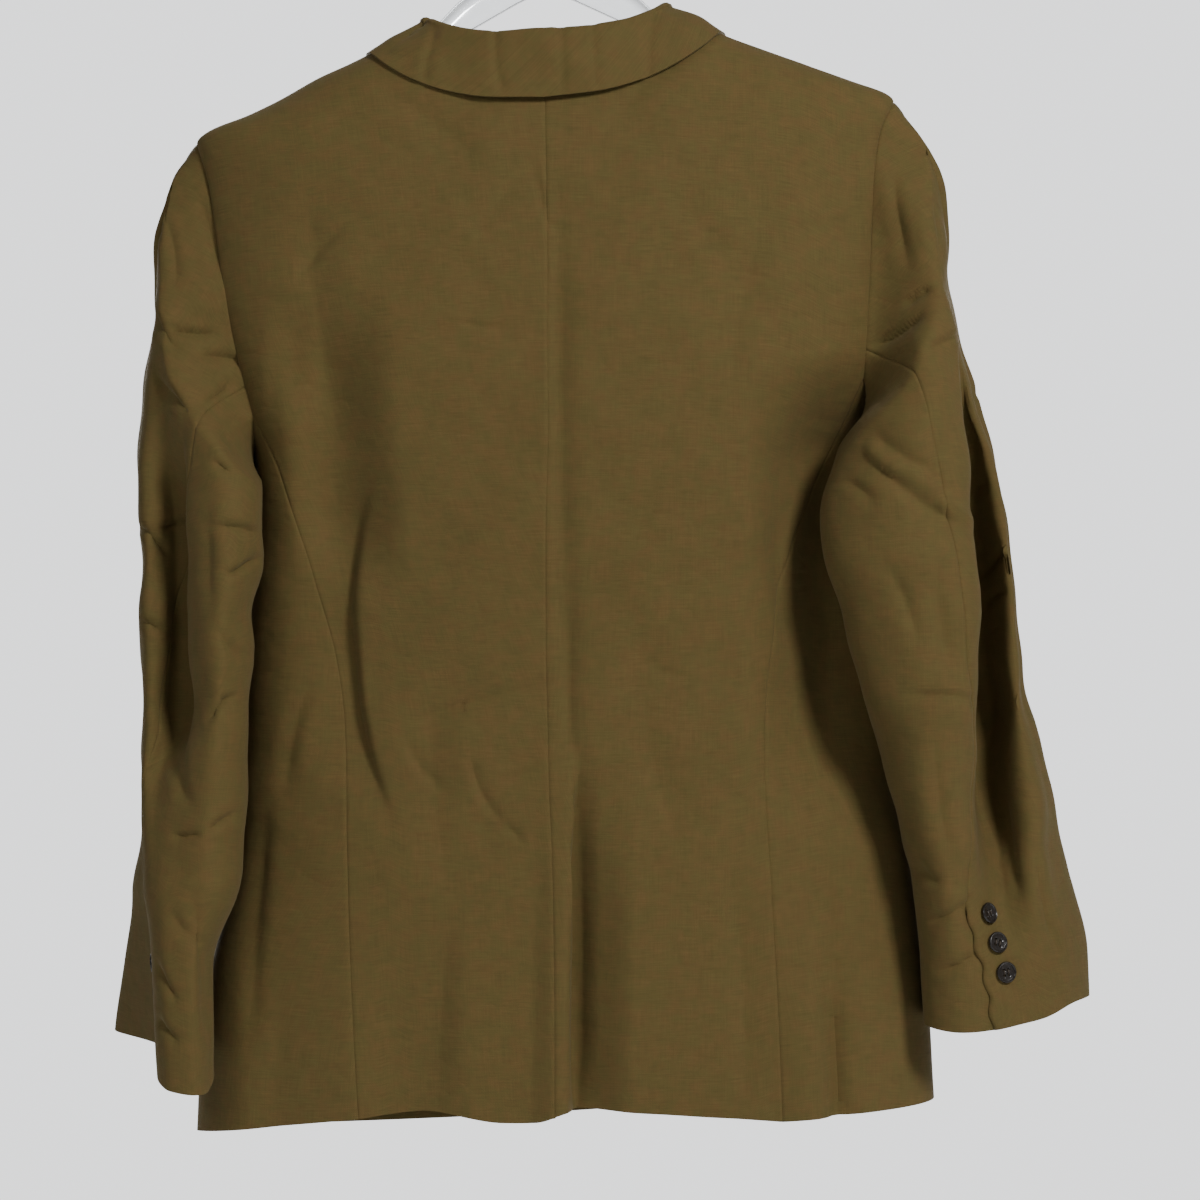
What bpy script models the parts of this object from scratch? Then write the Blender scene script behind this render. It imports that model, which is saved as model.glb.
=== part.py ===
"""A tailored blazer hanging on a clear plastic hanger, in metres, +Z up.

The origin is the inside top of the hanger's hook. The back of the blazer faces -Y, its
fronts face +Y and the wearer's right is +X. Sizes are in millimetres, and "drop" is the
distance below the hook. Every cloth piece is a wall of its own, cut along its real seams
from three surfaces: the body, the sleeves and the collar. It hangs a little aslant, the
right shoulder higher.
"""

import math
from collections import defaultdict

import bmesh
import bpy
import numpy as np
from mathutils import Matrix, Vector

MM = 0.001

# Cloth
WALL = 2.0  # shell with its interfacing
COLLAR_WALL = 2.4
SEAM_GAP = 0.3
LEAN = 0.06  # rise of the whole garment for each millimetre towards the right
ROUNDNESS = 2.6  # exponent of the body's flattened oval sections

# Landmarks: distance from the centre back, drop
SHOULDER_TIP_DROP = 205.0
SEAM_TOP_DROP = 385.0  # where the side seams meet the armhole
UNDERARM_DROP = 412.0
BREAK_DROP = 512.0  # where the lapel starts to turn back
FRONT_OVERLAP = 20.0
# The left front's tuck under the right one
TUCK = {
    "depth": WALL + 1.2,
    "behind_lapel": 6.5,
    "x": (-50.0, -22.0),
    "drop": (250.0, 330.0),
    "lapel_start": (330.0, 400.0),
    "lapel_end": (-550.0, -520.0),
}

# Rows and columns of each wall
SEAM_ROWS = 16
ARMHOLE_ROWS = 10
SHOULDER_COLUMNS = 8
BODY_ROWS = SEAM_ROWS + ARMHOLE_ROWS
OPENING_ROWS = 12
SIDE_COLUMNS = 6
SLEEVE_ROWS = 26
UNDER_SLEEVE_EXTRA = 1  # armhole rows that the under sleeve takes at either seam

# Fastenings
BUTTON_SIDES = 16
CUFF_BUTTON = {"radius": 7.0, "thick": 2.8, "rim": 1.6}
FRONT_BUTTON = {"radius": 10.0, "thick": 3.6, "rim": 2.2}
BUTTON_SHANK = 1.2
CUFF_BUTTON_DROPS = (737.5, 756.5, 775.5)
CUFF_BUTTON_STATIONS = {"left": (1.48, 1.46, 1.44), "right": (3.66, 3.52, 3.36)}
FRONT_BUTTON_DROPS = (528.0, 628.0)
VENT_ROWS = 4  # rows above the cuff in which the elbow seam is open
VENT_LAP = 0.3  # stations by which the right under sleeve runs behind the top one
VENT_RECESS = 3.8
VENT_SPREAD = 0.1  # stations by which the left vent gapes at the cuff

# Hanger
HOOK_RADIUS = 22.0
HOOK_WIRE = 2.0
HOOK_TIP_ANGLE = -35.0
HANGER_HALF_THICK = 4.0
HANGER_EDGE = 1.2
HANGER_TIP = 204.0
HANGER_ARM = 15.0
HANGER_SEAT = 5.0  # below the shoulder's ridge, just inside the wall
HANGER_ON_SHOULDER = (90.0, 120.0, 160.0)  # distances out where it follows the ridge
HANGER_NECK = ((13, 82), (26, 98), (42, 110), (58, 121), (72, 135))  # out, drop
HANGER_BELOW = ((100, 165), (47, 138), (20, 124), (0, 115))
BOSS_DROP = 66.0
BOSS_HALF = 11.0

COLOURS = {
    "cloth": ((0.122, 0.080, 0.025, 1.0), 0.92, 0.0),
    "button": ((0.018, 0.012, 0.008, 1.0), 0.28, 0.0),
    "plastic": ((0.86, 0.89, 0.91, 0.35), 0.08, 0.0),
    "steel": ((0.62, 0.62, 0.63, 1.0), 0.22, 1.0),
}


def table(names, *rows):
    """Named columns from rows."""
    return {name: np.array(column, float) for name, column in zip(names.split(), zip(*rows))}


# Body sections: half widths, the depth of the side edges, and reach to back and front
BODY = table(
    "drop left right side_left side_right back front",
    (130, 65, 65, 0, 0, 38, 32),
    (155, 119, 119, 0, 0, 43, 39),
    (180, 174, 174, 0, 0, 47, 44),
    (205, 228, 228, 0, 0, 52, 49),
    (235, 226, 226, 0, 0, 57, 54),
    (290, 221, 222, 0, 0, 63, 61),
    (340, 211, 221, 0, 0, 67, 66),
    (385, 198, 217, 2, 3, 69, 70),
    (412, 187, 211, 4, 7, 69, 71),
    (432, 182, 206, 6, 10, 68, 70),
    (465, 182, 206, 6, 10, 66, 69),
    (520, 184, 209, 6, 10, 61, 64),
    (575, 186, 214, 6, 10, 58, 58),
    (630, 192, 223, 6, 8, 59, 57),
    (690, 205, 238, 5, 8, 63, 61),
    (750, 219, 247, 4, 8, 67, 65),
    (810, 226, 252, 4, 8, 71, 68),
    (880, 229, 256, 4, 8, 74, 70),
)

# Seams of the back and of the armholes: distance from the centre
SEAMS = table(
    "drop centre side_left side_right front_left front_right",
    (177, 0, 0, 0, 0, 0),
    (300, 2, 0, 0, 0, 0),
    (385, 2, 190, 208, 189, 206),
    (420, 2, 174, 192, 176, 196),
    (471, 1, 157, 168, 164, 184),
    (497, 1, 149, 158, 160, 180),
    (545, 1, 136, 148, 156, 174),
    (587, 2, 130, 143, 155, 172),
    (630, 3, 128, 142, 157, 174),
    (708, 6, 126, 146, 162, 182),
    (800, 7, 122, 151, 168, 190),
    (880, 7, 117, 154, 172, 194),
)
ARMHOLE = table(
    "drop left right",
    (205, 228, 228),
    (226, 222, 219),
    (250, 217, 215),
    (287, 211, 213),
    (333, 203, 211),
    (385, 190, 208),
)

# The back hem's edge, from the left side to the right
HEM = table(
    "x drop",
    (-228, 850),
    (-202, 851),
    (-156, 846),
    (-121, 843),
    (-79, 841),
    (-26, 852),
    (-5, 853),
    (19, 847),
    (69, 852),
    (117, 858),
    (190, 866),
    (234, 857),
    (256, 855),
)
FRONT_HEM_DIP = 9.0

# Folds of the back, each from its top to its bottom; a fold's depth goes into the body,
# and a ridge has a negative one. Widths are those left and right of the fold's line.
FOLDS = table(
    "top bottom x_top x_middle x_bottom width_left width_right depth fade_in fade_out",
    (240, 650, 11, 11, 19, 10, 14, 2.5, 0.3, 0.2),
    (600, 900, 13, 10, 8, 18, 12, -5, 0.6, 0),
    (610, 900, 24, 21, 20, 6, 38, 15, 0.5, 0),
    (425, 665, -112, -124, -100, 38, 24, 11, 0.4, 0.3),
    (300, 400, -163, -165, -166, 18, 16, 4, 0.4, 0.4),
    (690, 900, -196, -198, -200, 34, 30, -6, 0.6, 0),
    (690, 900, -88, -86, -84, 44, 40, 7, 0.6, 0),
    (720, 900, 168, 172, 174, 26, 12, -5, 0.6, 0),
    (745, 900, 184, 186, 188, 6, 22, 4, 0.3, 0),
)
# The sleeve presses the right side in, which leaves a hollow between it and the back
PRESS = {"x": (126.0, 190.0), "on": (365.0, 440.0), "off": (575.0, 700.0), "slope": 0.2}

# Sleeve sections. A ring has a point at each station, out from the centre and in depth:
# the outer edge, the hollow behind the ridge, the ridge, the groove, the lip and the
# crown of the back bulge, and the inner edge. The front follows from these.
STATIONS = "out hollow ridge groove lip crown inner front".split()
SLEEVES = {
    "right": {
        215: ((240, 0), (238, -8), (234, -15), (228, -22), (222, -28), (214, -32), (208, -8), 34),
        240: ((253, 0), (251, -12), (247, -22), (240, -33), (231, -40), (220, -42), (207, -8), 40),
        290: ((261, 0), (259, -16), (255, -29), (248, -42), (238, -51), (224, -54), (207, -8), 47),
        345: ((269, 2), (268, -14), (266, -27), (263, -40), (256, -56), (236, -66), (208, -14), 52),
        400: ((283, 2), (282, -12), (280, -24), (273, -30), (269, -60), (244, -76), (204, -24), 53),
        440: ((293, 2), (292, -8), (289, -19), (275, -15), (270, -64), (238, -82), (191, -34), 53),
        475: ((300, 2), (299, -8), (296, -19), (278, -5), (273, -65), (232, -84), (183, -40), 52),
        520: ((307, 0), (306, -12), (302, -23), (280, 2), (276, -66), (236, -84), (190, -42), 50),
        585: ((312, -2), (310, -16), (305, -29), (281, 1), (276, -67), (244, -84), (206, -42), 47),
        650: ((328, -2), (321, -24), (310, -40), (284, -10), (275, -66), (250, -81), (226, -41), 42),
        715: ((343, -4), (331, -34), (317, -54), (292, -40), (276, -66), (258, -76), (240, -40), 34),
        770: ((355, -6), (340, -36), (322, -52), (302, -60), (284, -67), (264, -70), (246, -40), 27),
        830: ((357, -8), (343, -38), (326, -53), (308, -61), (290, -66), (268, -67), (249, -40), 23),
    },
    "left": {
        215: ((238, 0), (236, -8), (233, -15), (228, -22), (222, -28), (214, -32), (208, -8), 34),
        240: ((247, 0), (246, -12), (243, -22), (236, -33), (227, -40), (216, -42), (205, -8), 40),
        290: ((255, 0), (254, -16), (251, -29), (244, -43), (234, -52), (218, -55), (200, -10), 47),
        345: ((260, 2), (259, -18), (256, -33), (248, -45), (238, -57), (216, -66), (194, -16), 52),
        400: ((265, 2), (264, -20), (260, -38), (245, -43), (231, -61), (208, -74), (187, -28), 53),
        440: ((264, 2), (263, -20), (258, -40), (241, -34), (227, -63), (205, -78), (184, -36), 54),
        475: ((263, 2), (262, -22), (257, -42), (239, -31), (226, -64), (205, -80), (184, -40), 54),
        520: ((263, 2), (262, -24), (256, -44), (238, -31), (224, -66), (207, -82), (191, -44), 52),
        585: ((263, 2), (262, -26), (255, -50), (238, -36), (224, -70), (209, -84), (194, -46), 49),
        625: ((263, 2), (263, -24), (260, -58), (249, -64), (236, -76), (214, -86), (195, -48), 47),
        680: ((268, 4), (257, -30), (256, -66), (247, -80), (233, -86), (214, -88), (198, -50), 43),
        740: ((277, 4), (250, -34), (250, -70), (243, -86), (234, -91), (222, -91), (215, -56), 36),
        800: ((285, 2), (246, -36), (247, -72), (241, -87), (233, -92), (222, -92), (215, -60), 29),
        850: ((286, 0), (243, -38), (243, -72), (238, -87), (230, -91), (220, -91), (212, -62), 26),
    },
}
# The ring's other points, from the ones above; the shares run towards the outer edge
INNER_FRONT = {"out": 10.0, "off_body": 7.0, "forward": 34.0}
INNER_BACK = (0.18, 0.62)
FRONT_MIDDLE = 0.55
FRONT_OUT = (0.85, 0.62)
# How far below the armhole the sleeve takes its own section: over its outer and inner
# edges, and more over its back and front
CAP_REACH = {"edge": 20.0, "sides": 28.0}
UNDERARM_DELAY = 1.5
SLEEVE_ROW_GROWTH = 1.2  # exponent: rows lie closer together at the armhole
RING_STATIONS = 11

# Where the sleeves' seams run, as stations of the ring, and the drop of the cuffs' edges
SLEEVE_SEAMS = table(
    "drop elbow_right elbow_left front",
    (370, 5.3, 4.6, 8.6),
    (415, 4.9, 4.2, 8.6),
    (460, 4.5, 3.4, 8.6),
    (520, 4.3, 2.7, 8.6),
    (585, 4.2, 2.3, 8.6),
    (650, 4.0, 2.0, 8.6),
    (735, 4.3, 1.9, 8.6),
    (790, 4.0, 1.9, 8.6),
    (830, 3.9, 1.9, 8.6),
)
CUFFS = {
    "right": (799, 801, 807, 810, 812, 812, 809, 806, 802, 798, 798),
    "left": (788, 795, 808, 815, 818, 820, 819, 808, 798, 790, 787),
}

# The neck seam from the centre back, over the neck point, to the gorge, with the collar's
# fold line and the edge of its fall beside each of its points
NECK = table(
    "seam_x seam_drop fold_x fold_y fold_drop edge_x edge_y edge_drop",
    (0, 177, 0, -50, 149, 0, -56, 193),
    (30, 173.5, 28, -48.5, 147.5, 34, -55.5, 191),
    (55, 165, 50, -43, 144, 62, -51, 185),
    (74, 153.5, 66, -34, 138.5, 86, -46.5, 175),
    (86, 146.6, 75, -22, 133.5, 104, -38.5, 163),
    (91.5, 143.8, 79, -10, 131, 114, -24, 154),
    (93, 143.2, 80, 2, 131, 118, 0, 151.6),
    (92.3, 145.2, 79, 14, 134, 119, 16, 153),
    (90, 152, 77, 25, 141, 117, 32, 162.5),
    (83, 166, 72, 35, 155, 110, 44, 182),
    (70, 188, 63, 43, 178, 100, 51.5, 205),
    (52, 215, 51, 50.5, 206.5, 88, 57.5, 229),
)
NECK_POINT_ROW = 6
COLLAR_FOLD = 3.0  # half the thickness of the roll
COLLAR_ROLL = ((-1.0, 4.0), (-0.6, 1.0), (0.6, 1.0), (1.2, 4.0))  # across it, and down
COLLAR_LIFT = 0.9  # its stand, above the neck seam
COLLAR_INSET = 1.0

# Lapel: across from the roll line, upwards from the break
LAPEL = table("up width", (0.0, 7), (0.2, 30), (0.5, 55), (0.8, 70), (1.0, 74))
# Its section from the roll line: shift and lift are lengths, the rest shares of width and wall
LAPEL_SECTION = table(
    "across shift lift wall_in wall_down",
    (0.0, -2.3, 1.0, 1.0, 0.0),
    (0.0, -2.3, 3.2, 1.0, 0.9),
    (0.06, 0.5, 5.4, 0.5, 1.0),
    (0.3, 0.0, 6.0, 0.0, 1.0),
    (0.65, 0.0, 5.4, 0.0, 1.0),
    (1.0, 0.0, 4.0, 0.0, 1.0),
)
LAPEL_START = 6.0  # below the break
LAPEL_END = 1.5  # below the gorge
LAPEL_TOP_SLANT = 42.0
LAPEL_TOP_RISE = 5.5
LAPEL_TIP_POWER = 6
LAPEL_ROWS = 12


def smooth_through(xs, ys, at):
    """Cubic through the points that never swings past them."""
    at = np.clip(at, xs[0], xs[-1])
    steps = np.diff(xs)
    rises = np.diff(ys) / steps
    slopes = np.zeros(len(ys))
    product = rises[:-1] * rises[1:]
    total = rises[:-1] + rises[1:]
    slopes[1:-1] = np.where(product > 0, 2 * product / np.where(product > 0, total, 1), 0)
    slopes[0], slopes[-1] = rises[0], rises[-1]
    i = np.clip(np.searchsorted(xs, at, side="right") - 1, 0, len(xs) - 2)
    t = (at - xs[i]) / steps[i]
    start = (1 + 2 * t) * (1 - t) ** 2 * ys[i] + t * (1 - t) ** 2 * steps[i] * slopes[i]
    end = t * t * (3 - 2 * t) * ys[i + 1] + t * t * (t - 1) * steps[i] * slopes[i + 1]
    return start + end


def read(rows, column, at, key="drop"):
    return smooth_through(rows[key], rows[column], at)


def ease(value, start, end):
    """0 before the start, 1 past the end, smooth between."""
    t = np.clip((np.asarray(value, float) - start) / (end - start), 0, 1)
    return t * t * (3 - 2 * t)


# ---- The body's surface ----


def half_width(x, drop):
    return np.where(x < 0, read(BODY, "left", drop), read(BODY, "right", drop))


def side_depth(x, drop):
    return np.where(x < 0, read(BODY, "side_left", drop), read(BODY, "side_right", drop))


def folds_at(x, drop):
    depth = np.zeros(np.broadcast(x, drop).shape)
    for k in range(len(FOLDS["top"])):
        fold = {name: column[k] for name, column in FOLDS.items()}
        t = np.clip((drop - fold["top"]) / (fold["bottom"] - fold["top"]), 0, 1)
        ends = (1 - t) * fold["x_top"] + t * fold["x_bottom"]
        bow = fold["x_middle"] - (fold["x_top"] + fold["x_bottom"]) / 2
        line = ends + bow * 4 * t * (1 - t)
        width = np.where(x < line, fold["width_left"], fold["width_right"])
        across = (1 - np.minimum(1, abs(x - line) / width) ** 2) ** 2
        fade_in = ease(t, 0, fold["fade_in"])
        fade_out = ease(1 - t, 0, fold["fade_out"]) if fold["fade_out"] else 1
        depth = depth + fold["depth"] * across * fade_in * fade_out
    return depth


def back_depth(x, drop):
    """Y of the back's outer surface."""
    width = half_width(x, drop)
    edge = side_depth(x, drop)
    arch = (1 - np.clip(abs(x) / width, 0, 1) ** ROUNDNESS) ** (1 / ROUNDNESS)
    y = edge - (read(BODY, "back", drop) + edge) * arch
    y = y + folds_at(x, drop) * ease(arch, 0, 0.5)
    pressed = ease(x, *PRESS["x"]) * ease(drop, *PRESS["on"]) * (1 - ease(drop, *PRESS["off"]))
    return y + pressed * np.maximum(0, edge - PRESS["slope"] * (width - x) - y)


def front_depth(x, drop):
    """Y of the fronts' outer surface."""
    edge = side_depth(x, drop)
    u = np.clip(abs(x) / half_width(x, drop), 0, 1)
    return edge + (read(BODY, "front", drop) - edge) * (1 - u**ROUNDNESS) ** (1 / ROUNDNESS)


def hem_drop(x, face):
    if face < 0:
        return read(HEM, "drop", x, key="x")
    left, right = HEM["x"][0], HEM["x"][-1]
    level = np.interp(x, (left, right), (HEM["drop"][0], HEM["drop"][-1]))
    middle = 1 - ((x - (left + right) / 2) / ((right - left) / 2)) ** 2
    return level + FRONT_HEM_DIP * np.clip(middle, 0, 1)


def place(x, y, drop):
    """Points in metres, with the garment's lean."""
    x, y, drop = np.broadcast_arrays(x, y, drop)
    return np.stack([x, y, LEAN * x - drop], axis=-1) * MM


def patch(bottom, top, start, end):
    """A grid of (x, drop) between four edges: rows rise from bottom to top."""
    rows, columns = len(start), len(bottom)
    v = np.linspace(0, 1, rows)[:, None, None]
    u = np.linspace(0, 1, columns)[None, :, None]
    sides = (1 - u) * start[:, None] + u * end[:, None]
    levels = (1 - v) * bottom[None] + v * top[None]
    lower = (1 - u) * bottom[0] + u * bottom[-1]
    upper = (1 - u) * top[0] + u * top[-1]
    return sides + levels - (1 - v) * lower - v * upper


def along(points, count):
    """That many even steps along a polyline."""
    points = np.array(points, float)
    lengths = np.concatenate([[0], np.cumsum(np.linalg.norm(np.diff(points, axis=0), axis=1))])
    at = np.linspace(0, lengths[-1], count + 1)
    return np.stack([np.interp(at, lengths, points[:, k]) for k in range(2)], axis=1)


def seam_x(name, side, drop):
    column = f"{name}_{'left' if side < 0 else 'right'}"
    return side * smooth_through(SEAMS["drop"][2:], SEAMS[column][2:], drop)


def side_edge(side, name, face):
    """(x, drop) up the side seam and the armhole, from the hem to the shoulder's tip."""
    x_hem = seam_x(name, side, BODY["drop"][-1] - 25)
    seam_drops = np.linspace(float(hem_drop(x_hem, face)), SEAM_TOP_DROP, SEAM_ROWS + 1)
    seam = np.stack([seam_x(name, side, seam_drops), seam_drops], axis=1)
    drops = np.linspace(SEAM_TOP_DROP, SHOULDER_TIP_DROP, ARMHOLE_ROWS + 1)[1:]
    column = "left" if side < 0 else "right"
    arm = np.stack([side * read(ARMHOLE, column, drops), drops], axis=1)
    if name == "front":
        arm[:, 0] -= side * 2 * np.sin(math.pi * np.linspace(0, 1, ARMHOLE_ROWS + 1)[1:])
    return np.concatenate([seam, arm])


def shoulder(side):
    """(x, drop) along the shoulder seam, from the neck point to the tip."""
    drops = np.linspace(NECK["seam_drop"][NECK_POINT_ROW], SHOULDER_TIP_DROP, 60)
    x = half_width(side * np.ones(60), drops)
    even = np.linspace(x[0], x[-1], SHOULDER_COLUMNS + 1)
    return np.stack([side * even, np.interp(even, x, drops)], axis=1)


def neck_seam(side, first, last):
    """(x, drop) of the neck seam's points in rows first to last of its table."""
    seam = np.stack([side * NECK["seam_x"], NECK["seam_drop"]], axis=1)[first : last + 1]
    if first <= NECK_POINT_ROW <= last:
        seam[NECK_POINT_ROW - first] = shoulder(side)[0]
    return seam


def centre_seam():
    drops = np.linspace(float(hem_drop(7.0, -1)), NECK["seam_drop"][0], BODY_ROWS + 1)
    return np.stack([read(SEAMS, "centre", drops), drops], axis=1)


def back_panel(side):
    start, end = centre_seam(), side_edge(side, "side", -1)
    top = np.concatenate([neck_seam(side, 0, NECK_POINT_ROW - 1), shoulder(side)])
    reach = abs(top[:, 0]) / abs(top[-1, 0])
    share = 0.5 * reach + 0.5 * np.linspace(0, 1, len(top))
    bottom_x = start[0, 0] + share * (end[0, 0] - start[0, 0])
    bottom = np.stack([bottom_x, hem_drop(bottom_x, -1)], axis=1)
    bottom[-1] = end[0]
    x, drop = np.moveaxis(patch(bottom, top, start, end), -1, 0)
    y = back_depth(x, drop)
    y[-1, NECK_POINT_ROW:] = side_depth(x, drop)[-1, NECK_POINT_ROW:]
    return place(x, y, drop)


def front_edge(side):
    """(x, drop) up the front's edge: the opening, the roll line, then the neck seam."""
    edge_x = -side * FRONT_OVERLAP
    hem = (edge_x, float(hem_drop(edge_x, 1)) - 4)
    neck = neck_seam(side, NECK_POINT_ROW, len(NECK["seam_x"]) - 1)[::-1]
    roll_rows = BODY_ROWS - OPENING_ROWS - len(neck) + 1
    opening = along([hem, (edge_x, BREAK_DROP)], OPENING_ROWS)
    roll = along([(edge_x, BREAK_DROP), neck[0]], roll_rows)[1:]
    return np.concatenate([opening, roll, neck[1:]])


def tuck(x, drop):
    """How far the left front lies under the right one, deeper behind the folded lapel."""
    lapel = ease(-drop, *TUCK["lapel_end"]) * ease(drop, *TUCK["lapel_start"])
    depth = TUCK["depth"] + TUCK["behind_lapel"] * lapel
    return depth * ease(x, *TUCK["x"]) * ease(drop, *TUCK["drop"])


def front_panel(side):
    start = front_edge(side)
    end = side_edge(side, "front", 1)
    top = shoulder(side)
    bottom_x = np.linspace(start[0, 0], end[0, 0], SHOULDER_COLUMNS + 1)
    bottom = np.stack([bottom_x, hem_drop(bottom_x, 1)], axis=1)
    bottom[0], bottom[-1] = start[0], end[0]
    x, drop = np.moveaxis(patch(bottom, top, start, end), -1, 0)
    y = front_depth(x, drop) - (tuck(x, drop) if side < 0 else 0)
    y[-1] = side_depth(x, drop)[-1]
    return place(x, y, drop)


def side_panel(side):
    """Round the body's edge, from the back's side seam to the front's."""
    back, front = side_edge(side, "side", -1), side_edge(side, "front", 1)
    back, front = back[: SEAM_ROWS + 1], front[: SEAM_ROWS + 1]
    width = [half_width(edge[:, 0], edge[:, 1]) for edge in (back, front)]
    turn = [
        np.arccos(np.clip(abs(edge[:, 0]) / w, 0, 1) ** (ROUNDNESS / 2))
        for edge, w in zip((back, front), width)
    ]
    s = np.linspace(0, 1, SIDE_COLUMNS + 1)[None, :]
    v = np.linspace(0, 1, SEAM_ROWS + 1)[:, None]
    angle = -turn[0][:, None] * (1 - s) + turn[1][:, None] * s
    drop = back[:, 1][:, None] * (1 - s) + front[:, 1][:, None] * s
    drop = drop + (UNDERARM_DROP - SEAM_TOP_DROP) * 4 * s * (1 - s) * ease(v, 0.6, 1)
    x = side * half_width(side * np.ones_like(drop), drop) * np.cos(angle) ** (2 / ROUNDNESS)
    x[:, 0], x[:, -1] = back[:, 0], front[:, 0]
    y = np.where(angle < 0, back_depth(x, drop), front_depth(x, drop))
    return place(x, y, drop)


# ---- The sleeves' surface ----


def ring(side, drop):
    """The ring's points at one drop, out from the centre and in depth."""
    name = "left" if side < 0 else "right"
    rows = SLEEVES[name]
    drops = np.array(sorted(rows), float)
    found = {}
    for k, station in enumerate(STATIONS[:-1]):
        values = np.array([rows[int(d)][k] for d in drops], float)
        found[station] = [float(smooth_through(drops, values[:, axis], drop)) for axis in (0, 1)]
    reach = float(smooth_through(drops, np.array([rows[int(d)][-1] for d in drops], float), drop))
    out, inner, crown = found["out"], found["inner"], found["crown"]
    body = float(half_width(np.float64(side), np.float64(drop)))
    front_x = max(inner[0] + INNER_FRONT["out"], body + INNER_FRONT["off_body"])
    inner_front = [front_x, inner[1] + INNER_FRONT["forward"]]
    inner_back = [a + share * (b - a) for a, b, share in zip(inner, crown, INNER_BACK)]
    front = [front_x + FRONT_MIDDLE * (out[0] - front_x), reach]
    front_out = [front_x + FRONT_OUT[0] * (out[0] - front_x), FRONT_OUT[1] * reach]
    order = [found[name] for name in STATIONS[:6]]
    return np.array(order + [inner_back, inner, inner_front, front, front_out])


def around(points, station):
    """A smooth closed curve through the ring's points."""
    count = len(points)
    i = math.floor(station)
    t = station - i
    p = [points[(i + k) % count] for k in (-1, 0, 1, 2)]
    bend = t * t * (2 * p[0] - 5 * p[1] + 4 * p[2] - p[3])
    return 0.5 * (2 * p[1] + t * (p[2] - p[0]) + bend + t**3 * (3 * p[1] - p[0] - 3 * p[2] + p[3]))


def sleeve_seams(side, drop):
    """(elbow, front) seams as stations, the elbow's first."""
    name = "elbow_left" if side < 0 else "elbow_right"
    return float(read(SLEEVE_SEAMS, name, drop)), float(read(SLEEVE_SEAMS, "front", drop))


def ring_station(side, share, on_top, drop):
    """The station at a share of the way from the front seam to the elbow seam."""
    elbow, front = sleeve_seams(side, drop)
    first = front - RING_STATIONS if on_top else front
    return first + share * (elbow - first)


def sleeve_section(side, station, drop, recess=0.0):
    """(x, y) of the sleeve's own surface, or as far inside it as the recess says."""
    points = ring(side, drop)
    point = around(points, station)
    if recess:
        way = around(points, station + 0.05) - around(points, station - 0.05)
        point = point + recess * np.array([way[1], -way[0]]) / np.linalg.norm(way)
    return np.array([side * point[0], point[1]])


def outside_body(side, x, y, drop, clearance):
    """X of a sleeve point, moved out where it would lie inside the body's flank."""
    at = {name: float(read(BODY, name, drop)) for name in BODY if name != "drop"}
    name = "left" if side < 0 else "right"
    edge = at[f"side_{name}"]
    reach = at["front"] - edge if y > edge else at["back"] + edge
    share = min(1.0, abs(y - edge) / reach)
    outline = at[name] * (1 - share**ROUNDNESS) ** (1 / ROUNDNESS)
    inside = max(0.0, outline + clearance - abs(x))
    return x + side * inside * float(ease(y, edge - 34, edge - 16))


def sleeve_point(side, start, drop, station, recess=0.0):
    """(x, y) on the way from a point of the armhole into the sleeve's own section."""
    target = sleeve_section(side, station, drop, recess)
    facing_out = math.cos(2 * math.pi * station / RING_STATIONS)
    reach = CAP_REACH["edge"] + CAP_REACH["sides"] * math.sin(math.pi * (1 + facing_out) / 2)
    fallen = max(0.0, start[2] + drop)
    own = 1 - (1 - min(1.0, fallen / reach)) ** 2
    # Under the arm it leaves the body sideways before it swings to its own depth.
    own_depth = own ** (1 + UNDERARM_DELAY * max(0.0, -facing_out))
    x, y = start[:2] + (target - start[:2]) * np.array([own, own_depth])
    if SEAM_TOP_DROP - 10 < drop < BREAK_DROP:
        x = outside_body(side, x, y, drop, min(2.5, 0.35 * fallen))
    return x, y


def armhole_ring(back, side_grid, front):
    """The armhole's points from the tip down the back, under the arm and up the front."""
    down_back = back[SEAM_ROWS:, -1][::-1]
    under = side_grid[-1, 1:-1]
    up_front = front[SEAM_ROWS:, -1]
    return np.concatenate([down_back, under, up_front[:-1]])


def cuff_drop(side, station):
    edges = np.array(CUFFS["left" if side < 0 else "right"], float)
    return float(around(edges[:, None], station)[0])


def vent(side, on_top, row):
    """(stations past the elbow seam, recess) of a sleeve's edge in the cuff's vent."""
    rows_open = row - (SLEEVE_ROWS - VENT_ROWS)
    if side < 0:
        return (-VENT_SPREAD * max(0, rows_open) / VENT_ROWS if on_top else 0.0), 0.0
    if on_top or rows_open < 0:
        return 0.0, 0.0
    return (-VENT_LAP if rows_open > 0 else 0.0), VENT_RECESS


def sleeve_grid(side, loop, on_top):
    """A sleeve's outer grid, rows from the armhole's points to the cuff."""
    grid = np.zeros((SLEEVE_ROWS + 1, len(loop), 3))
    last_column = len(loop) - 1
    for j, point in enumerate(loop):
        start = point / MM
        start[2] -= LEAN * start[0]
        share = j / last_column
        end_drop = cuff_drop(side, ring_station(side, share, on_top, BODY["drop"][-2]))
        for i in range(SLEEVE_ROWS + 1):
            drop = -start[2] + (end_drop + start[2]) * (i / SLEEVE_ROWS) ** SLEEVE_ROW_GROWTH
            past, recess = vent(side, on_top, i) if j == last_column else (0.0, 0.0)
            station = ring_station(side, share, on_top, drop) + past
            x, y = sleeve_point(side, start, drop, station, recess)
            grid[i, j] = (x, y, LEAN * x - drop)
    return grid * MM


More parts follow.
